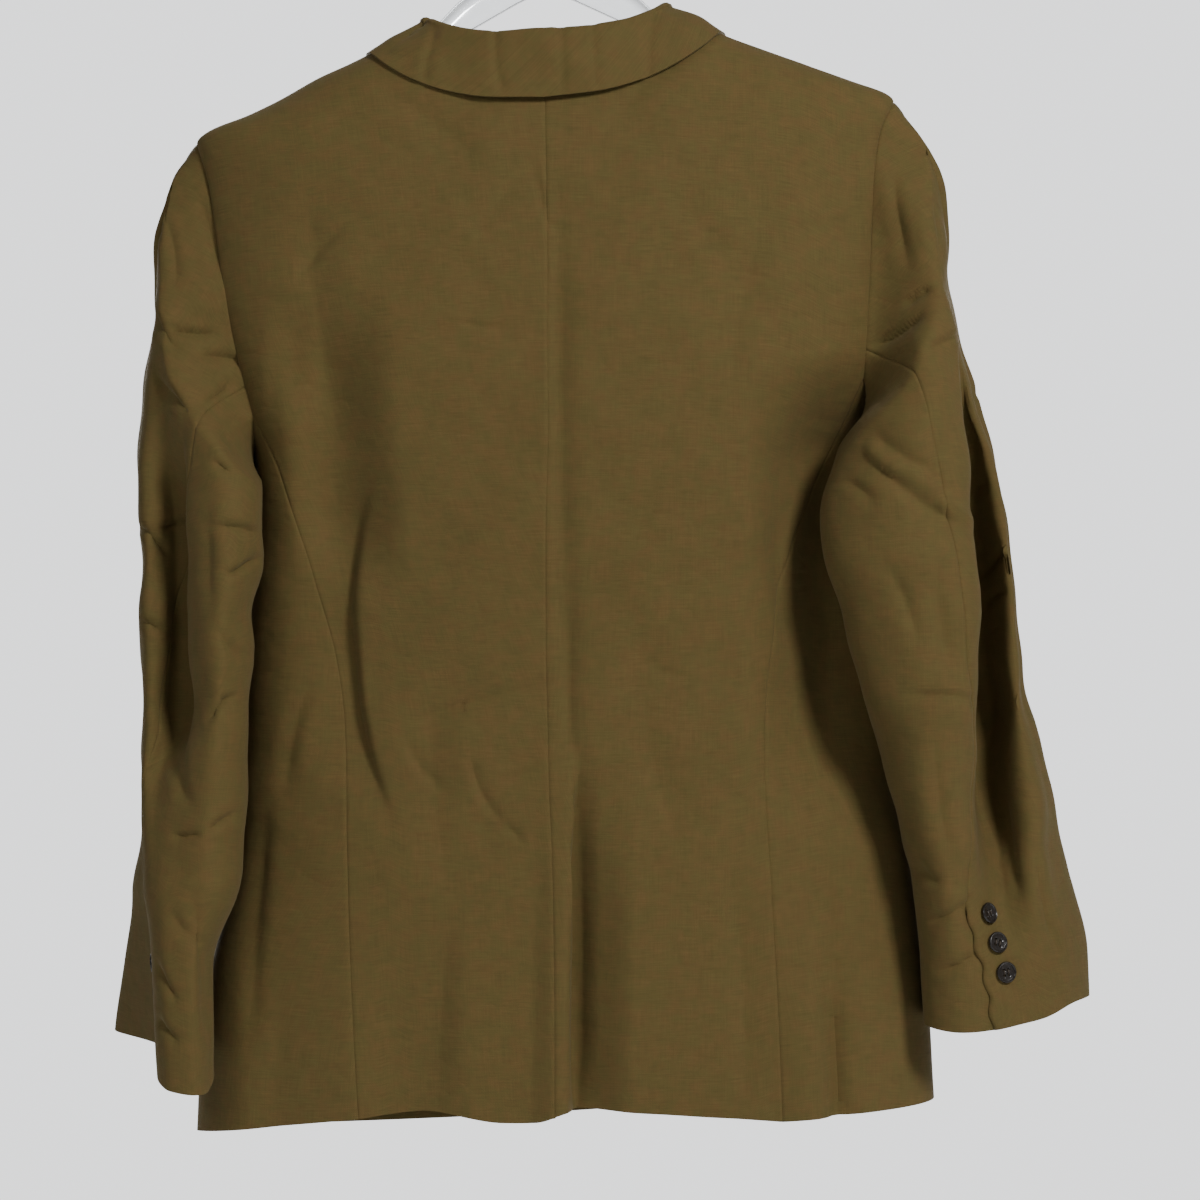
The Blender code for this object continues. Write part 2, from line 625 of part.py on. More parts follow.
def sleeve_grids(side, loop):
    """The top and the under sleeve's outer grids."""
    elbow = ARMHOLE_ROWS - UNDER_SLEEVE_EXTRA
    front = ARMHOLE_ROWS + SIDE_COLUMNS + UNDER_SLEEVE_EXTRA
    over_top = np.concatenate([loop[front:], loop[: elbow + 1]])
    under_arm = loop[elbow : front + 1][::-1]
    return sleeve_grid(side, over_top, True), sleeve_grid(side, under_arm, False)


# ---- Walls ----


def cell_normals(grid):
    """Area-weighted normals of each point from the faces round it."""
    normals = np.zeros_like(grid)
    a, b, c, d = grid[:-1, :-1], grid[:-1, 1:], grid[1:, 1:], grid[1:, :-1]
    face = np.cross(c - a, d - b)
    normals[:-1, :-1] += face
    normals[:-1, 1:] += face
    normals[1:, 1:] += face
    normals[1:, :-1] += face
    return normals


def key_of(point):
    return tuple(np.round(point / (0.02 * MM)).astype(int))


def edge_directions(grid):
    """For each point on an edge, the unit way from it into the panel."""
    ways = np.zeros_like(grid)
    ways[0] += grid[1] - grid[0]
    ways[-1] += grid[-2] - grid[-1]
    ways[1:-1, 0] += grid[1:-1, 1] - grid[1:-1, 0]
    ways[1:-1, -1] += grid[1:-1, -2] - grid[1:-1, -1]
    return ways / np.maximum(np.linalg.norm(ways, axis=-1, keepdims=True), 1e-12)


def shared_normals(grids):
    """Unit normals, with those on a seam shared, so that walls meet there in a mitre."""
    totals = defaultdict(lambda: np.zeros((2, 3)))
    panels = defaultdict(int)
    for name, grid in grids.items():
        normals = cell_normals(grid)
        normals = normals / np.maximum(np.linalg.norm(normals, axis=-1, keepdims=True), 1e-12)
        pairs = np.stack([normals, edge_directions(grid)], axis=-2).reshape(-1, 2, 3)
        for point, pair in zip(grid.reshape(-1, 3), pairs):
            totals[key_of(point)] += pair
            panels[key_of(point)] += 1
    result = {}
    for name, grid in grids.items():
        found = []
        for point in grid.reshape(-1, 3):
            normal, way = totals[key_of(point)]
            sharp = panels[key_of(point)] > 1 and normal @ normal < 3.6
            way = way if sharp else 0 * way
            found.append(normal + math.copysign(1, normal @ way) * way)
        found = np.array(found).reshape(grid.shape)
        result[name] = found / np.linalg.norm(found, axis=-1, keepdims=True)
    return result


def open_seams(outer, inner, edges):
    """Draws the named edges of a wall back by half of the seam's gap, along the wall."""
    outer, inner = outer.copy(), inner.copy()
    cuts = {
        "first_row": (np.s_[0], np.s_[1]),
        "last_row": (np.s_[-1], np.s_[-2]),
        "first_column": (np.s_[:, 0], np.s_[:, 1]),
        "last_column": (np.s_[:, -1], np.s_[:, -2]),
    }
    shifts = []
    for edge in edges:
        line, beside = cuts[edge]
        through = outer[line] - inner[line]
        seam = np.gradient(outer[line], axis=0)
        away = np.cross(through, seam)
        facing = np.sum(away * (outer[beside] - outer[line]), axis=-1, keepdims=True)
        away = away * np.where(facing < 0, -1, 1)
        away = away / np.linalg.norm(away, axis=-1, keepdims=True)
        shifts.append((line, SEAM_GAP / 2 * MM * away))
    for line, shift in shifts:
        outer[line] += shift
        inner[line] += shift
    return outer, inner


def wall(name, outer, inner, material, collection):
    """One closed wall between two grids, lofted row by row."""
    rows, columns = outer.shape[:2]
    bm = bmesh.new()
    sheets = []
    for grid in (outer, inner):
        sheets.append([[bm.verts.new(point) for point in row] for row in grid])
    for i in range(rows - 1):
        for j in range(columns - 1):
            for sheet in sheets:
                corners = (sheet[i][j], sheet[i][j + 1], sheet[i + 1][j + 1], sheet[i + 1][j])
                bm.faces.new(corners)
    rim = [(0, j) for j in range(columns - 1)]
    rim += [(i, columns - 1) for i in range(rows - 1)]
    rim += [(rows - 1, j) for j in range(columns - 1, 0, -1)]
    rim += [(i, 0) for i in range(rows - 1, 0, -1)]
    for first, second in zip(rim, rim[1:] + rim[:1]):
        # Both walls at a seam split its rim along the same diagonals.
        (i, j), (k, m) = first, second
        corners = [sheets[0][k][m], sheets[0][i][j], sheets[1][i][j], sheets[1][k][m]]
        if tuple(outer[k, m][::-1]) < tuple(outer[i, j][::-1]):
            corners = corners[1:] + corners[:1]
        bm.faces.new([corners[0], corners[1], corners[2]])
        bm.faces.new([corners[0], corners[2], corners[3]])
    bmesh.ops.recalc_face_normals(bm, faces=bm.faces)
    return add_object(name, bm, material, collection)


def add_object(name, bm, material, collection):
    mesh = bpy.data.meshes.new(name)
    bm.to_mesh(mesh)
    bm.free()
    mesh.shade_smooth()
    mesh.set_sharp_from_angle(angle=math.radians(40))
    mesh.materials.append(material)
    obj = bpy.data.objects.new(name, mesh)
    collection.objects.link(obj)
    return obj


# ---- Collar and lapels ----


def collar_grids():
    """Outer and inner grids: from the stand's seam, over the fold, to the fall's edge."""
    rows = len(NECK["seam_x"])
    outer, inner = [], []
    for side, order in ((-1, range(rows - 1, 0, -1)), (1, range(rows))):
        seams = neck_seam(side, 0, rows - 1)
        for k in order:
            at = {name: float(column[k]) for name, column in NECK.items()}
            x, drop = seams[k]
            facing = back_depth if k < NECK_POINT_ROW else front_depth
            seam = np.array([x, float(facing(x, drop)), COLLAR_LIFT - drop])
            seam[1] -= 0 if k == NECK_POINT_ROW else math.copysign(COLLAR_INSET, seam[1])
            fold = np.array([side * at["fold_x"], at["fold_y"], -at["fold_drop"]])
            edge = np.array([side * at["edge_x"], at["edge_y"], -at["edge_drop"]])
            away = edge - seam
            away[2] = 0
            away = away / np.linalg.norm(away)
            up = np.array([0, 0, 1.0])
            spine = [seam, 0.5 * (seam + fold) - away * 1.0]
            for out, down in COLLAR_ROLL:
                spine.append(fold + away * COLLAR_FOLD * out - up * down)
            spine.append(0.5 * (fold + edge) + away * 2.6)
            spine.append(0.22 * fold + 0.78 * edge + away * 1.4)
            spine.append(edge)
            spine = np.array(spine)
            normal = np.cross(np.gradient(spine, axis=0), np.cross(away, up))
            normal = normal / np.linalg.norm(normal, axis=1, keepdims=True)
            normal = normal * math.copysign(1, normal[4] @ up)
            outer.append(spine + normal * COLLAR_WALL / 2)
            inner.append(spine - normal * COLLAR_WALL / 2)
    grids = []
    for sections in (outer, inner):
        points = np.array(sections)
        points[..., 2] += LEAN * points[..., 0]
        grids.append(points * MM)
    return grids


def lapel_grids(side):
    """The facing that turns back over the front at the roll line."""
    start = np.array([-side * FRONT_OVERLAP, BREAK_DROP + LAPEL_START])
    end = np.array([side * NECK["seam_x"][-1], NECK["seam_drop"][-1] + LAPEL_END])
    up = np.linspace(0, 1, LAPEL_ROWS + 1)[:, None]
    section = {name: column[None, :] for name, column in LAPEL_SECTION.items()}
    across = section["across"]
    width = smooth_through(LAPEL["up"], LAPEL["width"], up)
    root_x, root_drop = (start[k] * (1 - up) + end[k] * up for k in range(2))
    tip = up**LAPEL_TIP_POWER
    rise = LAPEL_TOP_RISE * ease(across, 0, section["across"][0, 2]) * tip
    drop = root_drop + across * LAPEL_TOP_SLANT * tip - rise
    base_x = root_x + side * across * width
    y = front_depth(base_x, drop) - (tuck(base_x, drop) if side < 0 else 0)
    x = base_x + side * section["shift"]
    x_in = x + side * section["wall_in"] * WALL
    y_out = y + section["lift"]
    return place(x, y_out, drop), place(x_in, y_out - section["wall_down"] * WALL, drop)


# ---- Buttons and hanger ----


def button(name, size, point, normal, material, collection):
    """A turned disc with a raised rim and a short shank behind it."""
    radius, thick, rim = size["radius"], size["thick"], size["rim"]
    profile = [
        (0, thick * 0.72),
        (radius - rim - 0.8, thick * 0.72),
        (radius - rim, thick),
        (radius - 0.6, thick * 0.92),
        (radius, thick * 0.55),
        (radius - 1.0, 0),
        (2.2, 0),
        (1.8, -BUTTON_SHANK),
        (0, -BUTTON_SHANK),
    ]
    bm = bmesh.new()
    verts = [bm.verts.new((r * MM, 0, z * MM)) for r, z in profile]
    edges = [bm.edges.new(pair) for pair in zip(verts, verts[1:])]
    turn = {"axis": (0, 0, 1), "cent": (0, 0, 0), "angle": 2 * math.pi}
    bmesh.ops.spin(bm, geom=verts + edges, steps=BUTTON_SIDES, **turn)
    bmesh.ops.remove_doubles(bm, verts=bm.verts, dist=1e-5)
    bmesh.ops.recalc_face_normals(bm, faces=bm.faces)
    seat = point + normal * (BUTTON_SHANK + SEAM_GAP) * MM
    facing = Vector(normal).to_track_quat("Z", "Y").to_matrix().to_4x4()
    bm.transform(Matrix.Translation(Vector(seat)) @ facing)
    add_object(name, bm, material, collection)


def seat_on(surface, u, v):
    """A point of a surface and its unit normal, by small steps each way."""
    step = 0.5
    steps = ((u + step, v), (u - step, v), (u, v + step), (u, v - step))
    ahead, behind, over, under = (surface(*at) for at in steps)
    normal = np.cross(ahead - behind, over - under)
    return surface(u, v), normal / np.linalg.norm(normal)


def sleeve_spot(side, station, drop):
    """The sleeve's surface in millimetres, with the garment's lean."""
    x, y = sleeve_section(side, station, drop)
    return np.array([x, y, LEAN * x - drop])


def buttons(material, collection):
    for side, name in ((-1, "left"), (1, "right")):
        rows = zip(CUFF_BUTTON_STATIONS[name], CUFF_BUTTON_DROPS)
        for k, (station, drop) in enumerate(rows, 1):
            point, normal = seat_on(
                lambda s, d, side=side: sleeve_spot(side, s / 20, d), station * 20, drop
            )
            middle = sleeve_spot(side, 5.5, drop)
            normal = normal * math.copysign(1, normal @ (point - middle))
            button(f"cuff_button_{name}_{k}", CUFF_BUTTON, point * MM, normal, material, collection)
    for k, drop in enumerate(FRONT_BUTTON_DROPS, 1):
        point, normal = seat_on(lambda x, d: place(x, front_depth(x, d), d) / MM, 0.0, drop)
        normal = normal * math.copysign(1, normal[1])
        button(f"front_button_{k}", FRONT_BUTTON, point * MM, normal, material, collection)


def hanger_outline():
    """(x, drop) round the flat body, from the boss down the right arm and back."""
    top = [(BOSS_HALF, BOSS_DROP), *HANGER_NECK]
    ridge_x = np.array([*HANGER_ON_SHOULDER, HANGER_TIP - 6])
    drops = np.linspace(BODY["drop"][0], SHOULDER_TIP_DROP, 80)
    ridge = np.interp(ridge_x, half_width(np.ones(80), drops), drops)
    top += [(x, d + HANGER_SEAT) for x, d in zip(ridge_x, ridge)]
    tip_drop = top[-1][1] + 6
    right = top + [(HANGER_TIP, tip_drop), (HANGER_TIP - 3, tip_drop + 9)]
    right += [(HANGER_ON_SHOULDER[-1], top[-2][1] + HANGER_ARM), *HANGER_BELOW]
    left = [(-x, d) for x, d in right[-2::-1]]
    return right + left


def hanger_body(material, collection):
    """The plastic body: a flat outline, thickened and eased along its edges."""
    curve = bpy.data.curves.new("hanger_outline", "CURVE")
    curve.dimensions = "2D"
    curve.fill_mode = "BOTH"
    curve.extrude = (HANGER_HALF_THICK - HANGER_EDGE) * MM
    curve.bevel_depth = HANGER_EDGE * MM
    curve.bevel_resolution = 1
    curve.offset = -HANGER_EDGE * MM
    points = hanger_outline()
    spline = curve.splines.new("POLY")
    spline.points.add(len(points) - 1)
    for point, (x, drop) in zip(spline.points, points):
        point.co = (x * MM, (LEAN * x - drop) * MM, 0, 1)
    spline.use_cyclic_u = True
    guide = bpy.data.objects.new("hanger_outline", curve)
    collection.objects.link(guide)
    guide.rotation_euler = (math.pi / 2, 0, 0)
    bpy.context.view_layer.update()
    graph = bpy.context.evaluated_depsgraph_get()
    mesh = bpy.data.meshes.new_from_object(guide.evaluated_get(graph))
    bm = bmesh.new()
    bm.from_mesh(mesh)
    bmesh.ops.remove_doubles(bm, verts=bm.verts, dist=1e-6)
    bm.transform(guide.matrix_world)
    bpy.data.objects.remove(guide)
    bpy.data.meshes.remove(mesh)
    bmesh.ops.recalc_face_normals(bm, faces=bm.faces)
    return add_object("hanger_body", bm, material, collection)


def hanger_hook(material, collection):
    """The steel hook: a stem out of the boss, then a bend with its open end to the left."""
    centre_drop = HOOK_RADIUS - HOOK_WIRE
    points = [(0, -BOSS_DROP + SEAM_GAP), (0, -BOSS_DROP + 8), (0, -centre_drop - HOOK_RADIUS - 6)]
    start = -70.0
    for k in range(19):
        angle = math.radians(start + (180 - HOOK_TIP_ANGLE - start) * k / 18)
        points.append((HOOK_RADIUS * math.cos(angle), HOOK_RADIUS * math.sin(angle) - centre_drop))
    curve = bpy.data.curves.new("hanger_hook", "CURVE")
    curve.dimensions = "3D"
    curve.bevel_depth = HOOK_WIRE * MM
    curve.bevel_resolution = 2
    curve.use_fill_caps = True
    spline = curve.splines.new("POLY")
    spline.points.add(len(points) - 1)
    for point, (x, z) in zip(spline.points, points):
        point.co = (x * MM, 0, z * MM, 1)
    obj = bpy.data.objects.new("hanger_hook", curve)
    curve.materials.append(material)
    collection.objects.link(obj)
    return obj


# ---- Assembly ----


def make_material(name):
    colour, roughness, metallic = COLOURS[name]
    material = bpy.data.materials.new(name)
    material.use_nodes = True
    shader = material.node_tree.nodes["Principled BSDF"]
    shader.inputs["Base Color"].default_value = colour
    shader.inputs["Roughness"].default_value = roughness
    shader.inputs["Metallic"].default_value = metallic
    shader.inputs["Alpha"].default_value = colour[3]
    return material


def cloth_grids():
    """The outer grid of every panel, by name, all facing outwards."""
    grids = {}
    for side, name in ((-1, "left"), (1, "right")):
        back, flank, front = back_panel(side), side_panel(side), front_panel(side)
        loop = armhole_ring(back, flank, front)
        top, under = sleeve_grids(side, loop)
        found = {"back": back, "side": flank, "front": front[:, ::-1]}
        found |= {"sleeve_top": top[::-1, ::-1], "sleeve_under": under[::-1]}
        for part, grid in found.items():
            grids[f"{part}_{name}"] = grid if side > 0 else grid[:, ::-1]
    return grids


def build():
    for obj in list(bpy.data.objects):
        bpy.data.objects.remove(obj)
    collection = bpy.data.collections.new("blazer")
    bpy.context.scene.collection.children.link(collection)
    materials = {name: make_material(name) for name in COLOURS}
    grids = cloth_grids()
    normals = shared_normals(grids)
    for name, grid in grids.items():
        inner = grid - normals[name] * WALL * MM
        edges = ["first_column", "last_column", "last_row"]
        wall(name, *open_seams(grid, inner, edges), materials["cloth"], collection)
    wall("collar", *collar_grids(), materials["cloth"], collection)
    for side, name in ((-1, "left"), (1, "right")):
        wall(f"lapel_{name}", *lapel_grids(side), materials["cloth"], collection)
    buttons(materials["button"], collection)
    hanger_body(materials["plastic"], collection)
    hanger_hook(materials["steel"], collection)


build()
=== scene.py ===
"""Looks of a tailored blazer on a clear plastic hanger, seen from behind.

Sizes are in millimetres, and "drop" is the distance below the hook. The wearer's right is
+X and the back faces -Y. Each cloth piece is a fine grid laid on the form of its solid, with
its creases placed one by one, then given its thickness.
"""

import math

import bmesh
import bpy
import numpy as np
from mathutils import Matrix, Vector


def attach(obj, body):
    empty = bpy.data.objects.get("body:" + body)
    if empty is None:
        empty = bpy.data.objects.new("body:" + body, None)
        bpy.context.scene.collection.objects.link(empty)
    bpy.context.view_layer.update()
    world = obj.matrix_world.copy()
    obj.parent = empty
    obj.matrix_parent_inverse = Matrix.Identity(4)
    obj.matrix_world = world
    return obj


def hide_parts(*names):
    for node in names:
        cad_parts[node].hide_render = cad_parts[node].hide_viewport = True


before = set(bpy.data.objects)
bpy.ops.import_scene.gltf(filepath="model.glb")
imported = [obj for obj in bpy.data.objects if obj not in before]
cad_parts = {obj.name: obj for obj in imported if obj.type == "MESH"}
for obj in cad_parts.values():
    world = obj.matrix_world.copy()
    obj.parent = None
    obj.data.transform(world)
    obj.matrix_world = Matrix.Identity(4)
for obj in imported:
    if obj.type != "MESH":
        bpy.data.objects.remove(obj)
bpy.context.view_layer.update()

bl_info = {
    "name": "Blazer on a hanger",
    "version": (1, 0, 0),
    "blender": (4, 5, 0),
    "location": "View3D > Sidebar > Blazer",
    "description": "Builds a tailored blazer with its creases, buttons and clear hanger",
    "category": "Object",
}

MM = 0.001
SIDES = ((-1, "left"), (1, "right"))

# Cloth
SEAM_GAP = 0.3
LEAN = 0.06
ROUNDNESS = 2.6
SHOULDER_TIP_DROP = 205.0
SEAM_TOP_DROP = 385.0
UNDERARM_DROP = 412.0
BREAK_DROP = 512.0
HEM_LEVEL = 855.0  # where the side seams meet the hem
CUFF_LEVEL = 810.0
FRONT_OVERLAP = 20.0
FRONT_CORNER = {"rise": 4.0, "share": 1 / 8}  # the fronts' lower corners turn up a little
ARMHOLE_SCOOP = 2.0  # of the front
# A sleeve is kept off the body from one depth behind the flank to another
OFF_BODY = {"from": -34.0, "full": -16.0, "above": 10.0, "clearance": 2.5, "growth": 0.35}
TUCK = {
    "depth": 3.2,
    "behind_lapel": 6.5,
    "x": (-50.0, -22.0),
    "drop": (250.0, 330.0),
    "lapel_start": (330.0, 400.0),
    "lapel_end": (-550.0, -520.0),
}

# Shares of a panel's height or of an armhole's round at which its outline turns
SEAM_SHARE = 16 / 26
OPENING_SHARE = 12 / 26
GORGE_SHARE = 21 / 26
NECK_SHARE = 6 / 14
RIDGE_EASE = 0.05  # the width beside the neck over which the top edge reaches the ridge
ARMHOLE_TURNS = (10.0, 16.0, 26.0)  # the back's foot, the front's foot, the tip again
TOP_SLEEVE = (17.0, 35.0)
UNDER_SLEEVE = (17.0, 9.0)

# Fastenings
CUFF_BUTTON = {"radius": 7.0, "thick": 2.8, "rim": 1.5}
FRONT_BUTTON = {"radius": 10.0, "thick": 3.6, "rim": 2.1}
BUTTON_SHANK = 1.2
BUTTON_CLEARANCE = 0.5  # over the creases of the cloth
HOLES = {"radius": 0.135, "spread": 0.215}  # shares of the button's radius
THREAD_POINTS = 8
SHANK = {"top": 1.3, "foot": 1.5, "into_button": 0.8}
CUFF_BUTTON_STATIONS = {"left": (1.48, 1.46, 1.44), "right": (3.66, 3.52, 3.36)}
CUFF_BUTTON_DROPS = (737.5, 756.5, 775.5)
FRONT_BUTTON_DROPS = (528.0, 628.0)

# Hanger
HOOK_RADIUS = 22.0
HOOK_WIRE = 2.0
HOOK_TIP_ANGLE = -35.0
HOOK_START_ANGLE = -70.0
HOOK_SHANK = {"below": 6.0, "straight": 8.0, "in_boss": 12.0}
HOOK_STEPS = 48
HANGER_HALF_THICK = 4.0
HANGER_TIP = 204.0
HANGER_ARM = 15.0
HANGER_SEAT = 5.0
HANGER_ON_SHOULDER = (90.0, 120.0, 160.0)
HANGER_NECK = ((13, 82), (26, 98), (42, 110), (58, 121), (72, 135))
HANGER_BELOW = ((100, 165), (47, 138), (20, 124), (0, 115))
BOSS_DROP = 66.0
BOSS_HALF = 11.0
HANGER_END = {"in": 6.0, "down": 6.0, "corner": (3.0, 9.0)}
HANGER_WEB = {"rim": 3.2, "sunk": 2.2, "edge": 0.7}


def table(names, *rows):
    """Named columns from rows."""
    return {name: np.array(column, float) for name, column in zip(names.split(), zip(*rows))}


# Body sections: half widths, the depth of the side edges, and reach to back and front
BODY = table(
    "drop left right side_left side_right back front",
    (130, 65, 65, 0, 0, 38, 32),
    (155, 119, 119, 0, 0, 43, 39),
    (180, 174, 174, 0, 0, 47, 44),
    (205, 228, 228, 0, 0, 52, 49),
    (235, 226, 226, 0, 0, 57, 54),
    (290, 221, 222, 0, 0, 63, 61),
    (340, 211, 221, 0, 0, 67, 66),
    (385, 198, 217, 2, 3, 69, 70),
    (412, 191, 211, 4, 7, 69, 71),
    (432, 191, 206, 6, 10, 68, 70),
    (465, 191, 206, 6, 10, 66, 69),
    (520, 194, 209, 6, 10, 61, 64),
    (575, 196, 214, 6, 10, 58, 58),
    (630, 199, 223, 6, 8, 59, 57),
    (690, 205, 238, 5, 8, 63, 61),
    (750, 219, 247, 4, 8, 67, 65),
    (810, 226, 252, 4, 8, 71, 68),
    (880, 229, 256, 4, 8, 74, 70),
)

# Seams of the back and of the armholes: distance from the centre
SEAMS = table(
    "drop centre side_left side_right front_left front_right",
    (177, 0, 0, 0, 0, 0),
    (300, 2, 0, 0, 0, 0),
    (385, 2, 190, 208, 189, 206),
    (420, 2, 174, 192, 176, 196),
    (471, 1, 157, 168, 164, 184),
    (497, 1, 149, 158, 160, 180),
    (545, 1, 136, 148, 156, 174),
    (587, 2, 130, 143, 155, 172),
    (630, 3, 128, 142, 157, 174),
    (708, 6, 126, 146, 162, 182),
    (800, 7, 122, 151, 168, 190),
    (880, 7, 117, 154, 172, 194),
)
ARMHOLE = table(
    "drop left right",
    (205, 228, 228),
    (226, 222, 219),
    (250, 217, 215),
    (287, 211, 213),
    (333, 203, 211),
    (385, 190, 208),
)

# The back hem's edge, from the left side to the right
HEM = table(
    "x drop",
    (-228, 857),
    (-202, 856),
    (-156, 849),
    (-121, 845),
    (-79, 842),
    (-26, 852),
    (-5, 853),
    (19, 847),
    (69, 852),
    (117, 858),
    (190, 866),
    (234, 857),
    (256, 855),
)
FRONT_HEM_DIP = 9.0

# Folds of the back, each from its top to its bottom; a fold's depth goes into the body,
# and a ridge has a negative one. Widths are those left and right of the fold's line.
FOLDS = table(
    "top bottom x_top x_middle x_bottom width_left width_right depth fade_in fade_out",
    (240, 650, 11, 11, 19, 10, 14, 2.5, 0.3, 0.2),
    (600, 900, 13, 10, 8, 18, 12, -5, 0.6, 0),
    (610, 900, 24, 21, 20, 6, 38, 15, 0.5, 0),
    (430, 668, -113, -125, -96, 44, 8, 6.5, 0.3, 0.35),
    (290, 520, -140, -136, -124, 34, 44, 15, 0.4, 0.3),
    (300, 400, -163, -165, -166, 18, 16, 4, 0.4, 0.4),
    (690, 900, -196, -198, -200, 34, 30, -6, 0.6, 0),
    (690, 900, -88, -86, -84, 44, 40, 7, 0.6, 0),
    (720, 900, 168, 172, 174, 26, 12, -5, 0.6, 0),
    (745, 900, 184, 186, 188, 6, 22, 4, 0.3, 0),
)
# The sleeve presses the right side in, which leaves a hollow between it and the back
PRESS = {"x": (126.0, 190.0), "on": (365.0, 440.0), "off": (575.0, 700.0), "slope": 0.2}

# Sleeve sections. A ring has a point at each station, out from the centre and in depth:
# the outer edge, the hollow behind the ridge, the ridge, the groove, the lip and the
# crown of the back bulge, and the inner edge. The front follows from these.
STATIONS = "out hollow ridge groove lip crown inner front".split()
SLEEVES = {
    "right": {
        215: ((240, 0), (238, -8), (234, -15), (228, -22), (222, -28), (214, -32), (208, -8), 34),
        240: ((253, 0), (251, -12), (247, -22), (240, -33), (231, -40), (220, -42), (207, -8), 40),
        290: ((261, 0), (259, -16), (255, -29), (248, -42), (238, -51), (224, -54), (207, -8), 47),
        345: ((269, 2), (268, -14), (266, -27), (263, -40), (256, -56), (236, -66), (208, -14), 52),
        400: ((283, 2), (282, -12), (280, -24), (273, -30), (269, -60), (244, -76), (204, -24), 53),
        440: ((293, 2), (292, -8), (289, -19), (275, -15), (270, -64), (238, -82), (191, -34), 53),
        475: ((300, 2), (299, -8), (296, -19), (278, -5), (273, -65), (232, -84), (183, -40), 52),
        520: ((307, 0), (306, -12), (302, -23), (280, 2), (276, -66), (236, -84), (190, -42), 50),
        585: ((312, -2), (310, -16), (305, -29), (281, 1), (276, -67), (244, -84), (206, -42), 47),
        650: ((328, -2), (322, -22), (311, -38), (283, -2), (275, -66), (250, -81), (226, -41), 42),
        715: ((343, -4), (331, -34), (317, -54), (292, -40), (276, -66), (258, -76), (240, -40), 34),
        770: ((355, -6), (340, -36), (322, -52), (302, -60), (284, -67), (264, -70), (246, -40), 27),
        830: ((357, -8), (343, -38), (326, -53), (308, -61), (290, -66), (268, -67), (249, -40), 23),
    },
    "left": {
        215: ((238, 0), (236, -8), (233, -15), (228, -22), (222, -28), (214, -32), (208, -8), 34),
        240: ((247, 0), (246, -12), (243, -22), (236, -33), (227, -40), (216, -42), (205, -8), 40),
        290: ((255, 0), (254, -16), (251, -29), (244, -43), (234, -52), (218, -55), (200, -10), 47),
        345: ((260, 2), (259, -18), (256, -33), (248, -45), (238, -57), (216, -66), (194, -16), 52),
        400: ((265, 2), (264, -20), (260, -38), (245, -43), (231, -61), (208, -74), (187, -28), 53),
        440: ((264, 2), (263, -20), (258, -40), (241, -34), (227, -63), (205, -78), (184, -36), 54),
        475: ((263, 2), (262, -22), (257, -42), (239, -31), (226, -64), (205, -80), (184, -40), 54),
        520: ((263, 2), (262, -24), (256, -44), (238, -31), (224, -66), (207, -82), (191, -44), 52),
        585: ((263, 2), (262, -26), (255, -50), (238, -36), (224, -70), (209, -84), (194, -46), 49),
        625: ((263, 2), (263, -24), (260, -58), (249, -64), (236, -76), (214, -86), (195, -48), 47),
        680: ((268, 4), (257, -30), (256, -66), (247, -80), (233, -86), (214, -88), (198, -50), 43),
        740: ((277, 14), (250, -34), (250, -70), (243, -86), (234, -91), (222, -91), (215, -56), 36),
        800: ((285, 24), (246, -32), (247, -72), (241, -87), (233, -92), (222, -92), (215, -60), 29),
        850: ((286, 25), (243, -34), (243, -72), (238, -87), (230, -91), (220, -91), (212, -62), 26),
    },
}
# The ring's other points, from the ones above; the shares run towards the outer edge
INNER_FRONT = {"out": 10.0, "off_body": 7.0, "forward": 34.0}
INNER_BACK = (0.18, 0.62)
FRONT_MIDDLE = 0.55
FRONT_OUT = (0.85, 0.62)
# How far below the armhole the sleeve takes its own section: over its outer and inner
# edges, and more over its back and front
CAP_REACH = {"edge": 20.0, "sides": 28.0}
UNDERARM_DELAY = 1.5
CAP_FULLNESS = {"out": 4.0, "reach": 34.0}  # the eased sleeve head, below the shoulder's end
SLEEVE_ROW_GROWTH = 1.2  # exponent: rows lie closer together at the armhole
RING_STATIONS = 11

# Where the sleeves' seams run, as stations of the ring, and the drop of the cuffs' edges
SLEEVE_SEAMS = table(
    "drop elbow_right elbow_left front",
    (370, 5.3, 4.6, 8.6),
    (415, 4.9, 4.2, 8.6),
    (460, 4.5, 3.4, 8.6),
    (520, 4.3, 2.7, 8.6),
    (585, 4.2, 2.3, 8.6),
    (650, 4.0, 2.0, 8.6),
    (735, 4.3, 1.9, 8.6),
    (790, 4.0, 1.9, 8.6),
    (830, 3.9, 1.9, 8.6),
)
CUFFS = {
    "right": (799, 801, 807, 810, 812, 812, 809, 806, 802, 798, 798),
    "left": (788, 795, 808, 815, 818, 820, 819, 808, 798, 790, 787),
}

# The neck seam from the centre back, over the neck point, to the gorge, with the collar's
# fold line and the edge of its fall beside each of its points
NECK = table(
    "seam_x seam_drop fold_x fold_y fold_drop edge_x edge_y edge_drop",
    (0, 177, 0, -50, 149, 0, -56, 193),
    (30, 173.5, 28, -48.5, 147.5, 34, -55.5, 191),
    (55, 165, 50, -43, 144, 62, -51, 185),
    (74, 153.5, 66, -34, 138.5, 86, -46.5, 175),
    (86, 146.6, 75, -22, 133.5, 104, -38.5, 163),
    (91.5, 143.8, 79, -10, 131, 114, -24, 154),
    (93, 143.2, 80, 2, 131, 118, 0, 151.6),
    (92.3, 145.2, 79, 14, 134, 119, 16, 153),
    (90, 152, 77, 25, 141, 117, 32, 162.5),
    (83, 166, 72, 35, 155, 110, 44, 182),
    (70, 188, 63, 43, 178, 100, 51.5, 205),
    (52, 215, 51, 50.5, 206.5, 88, 57.5, 229),
)
NECK_POINT_ROW = 6
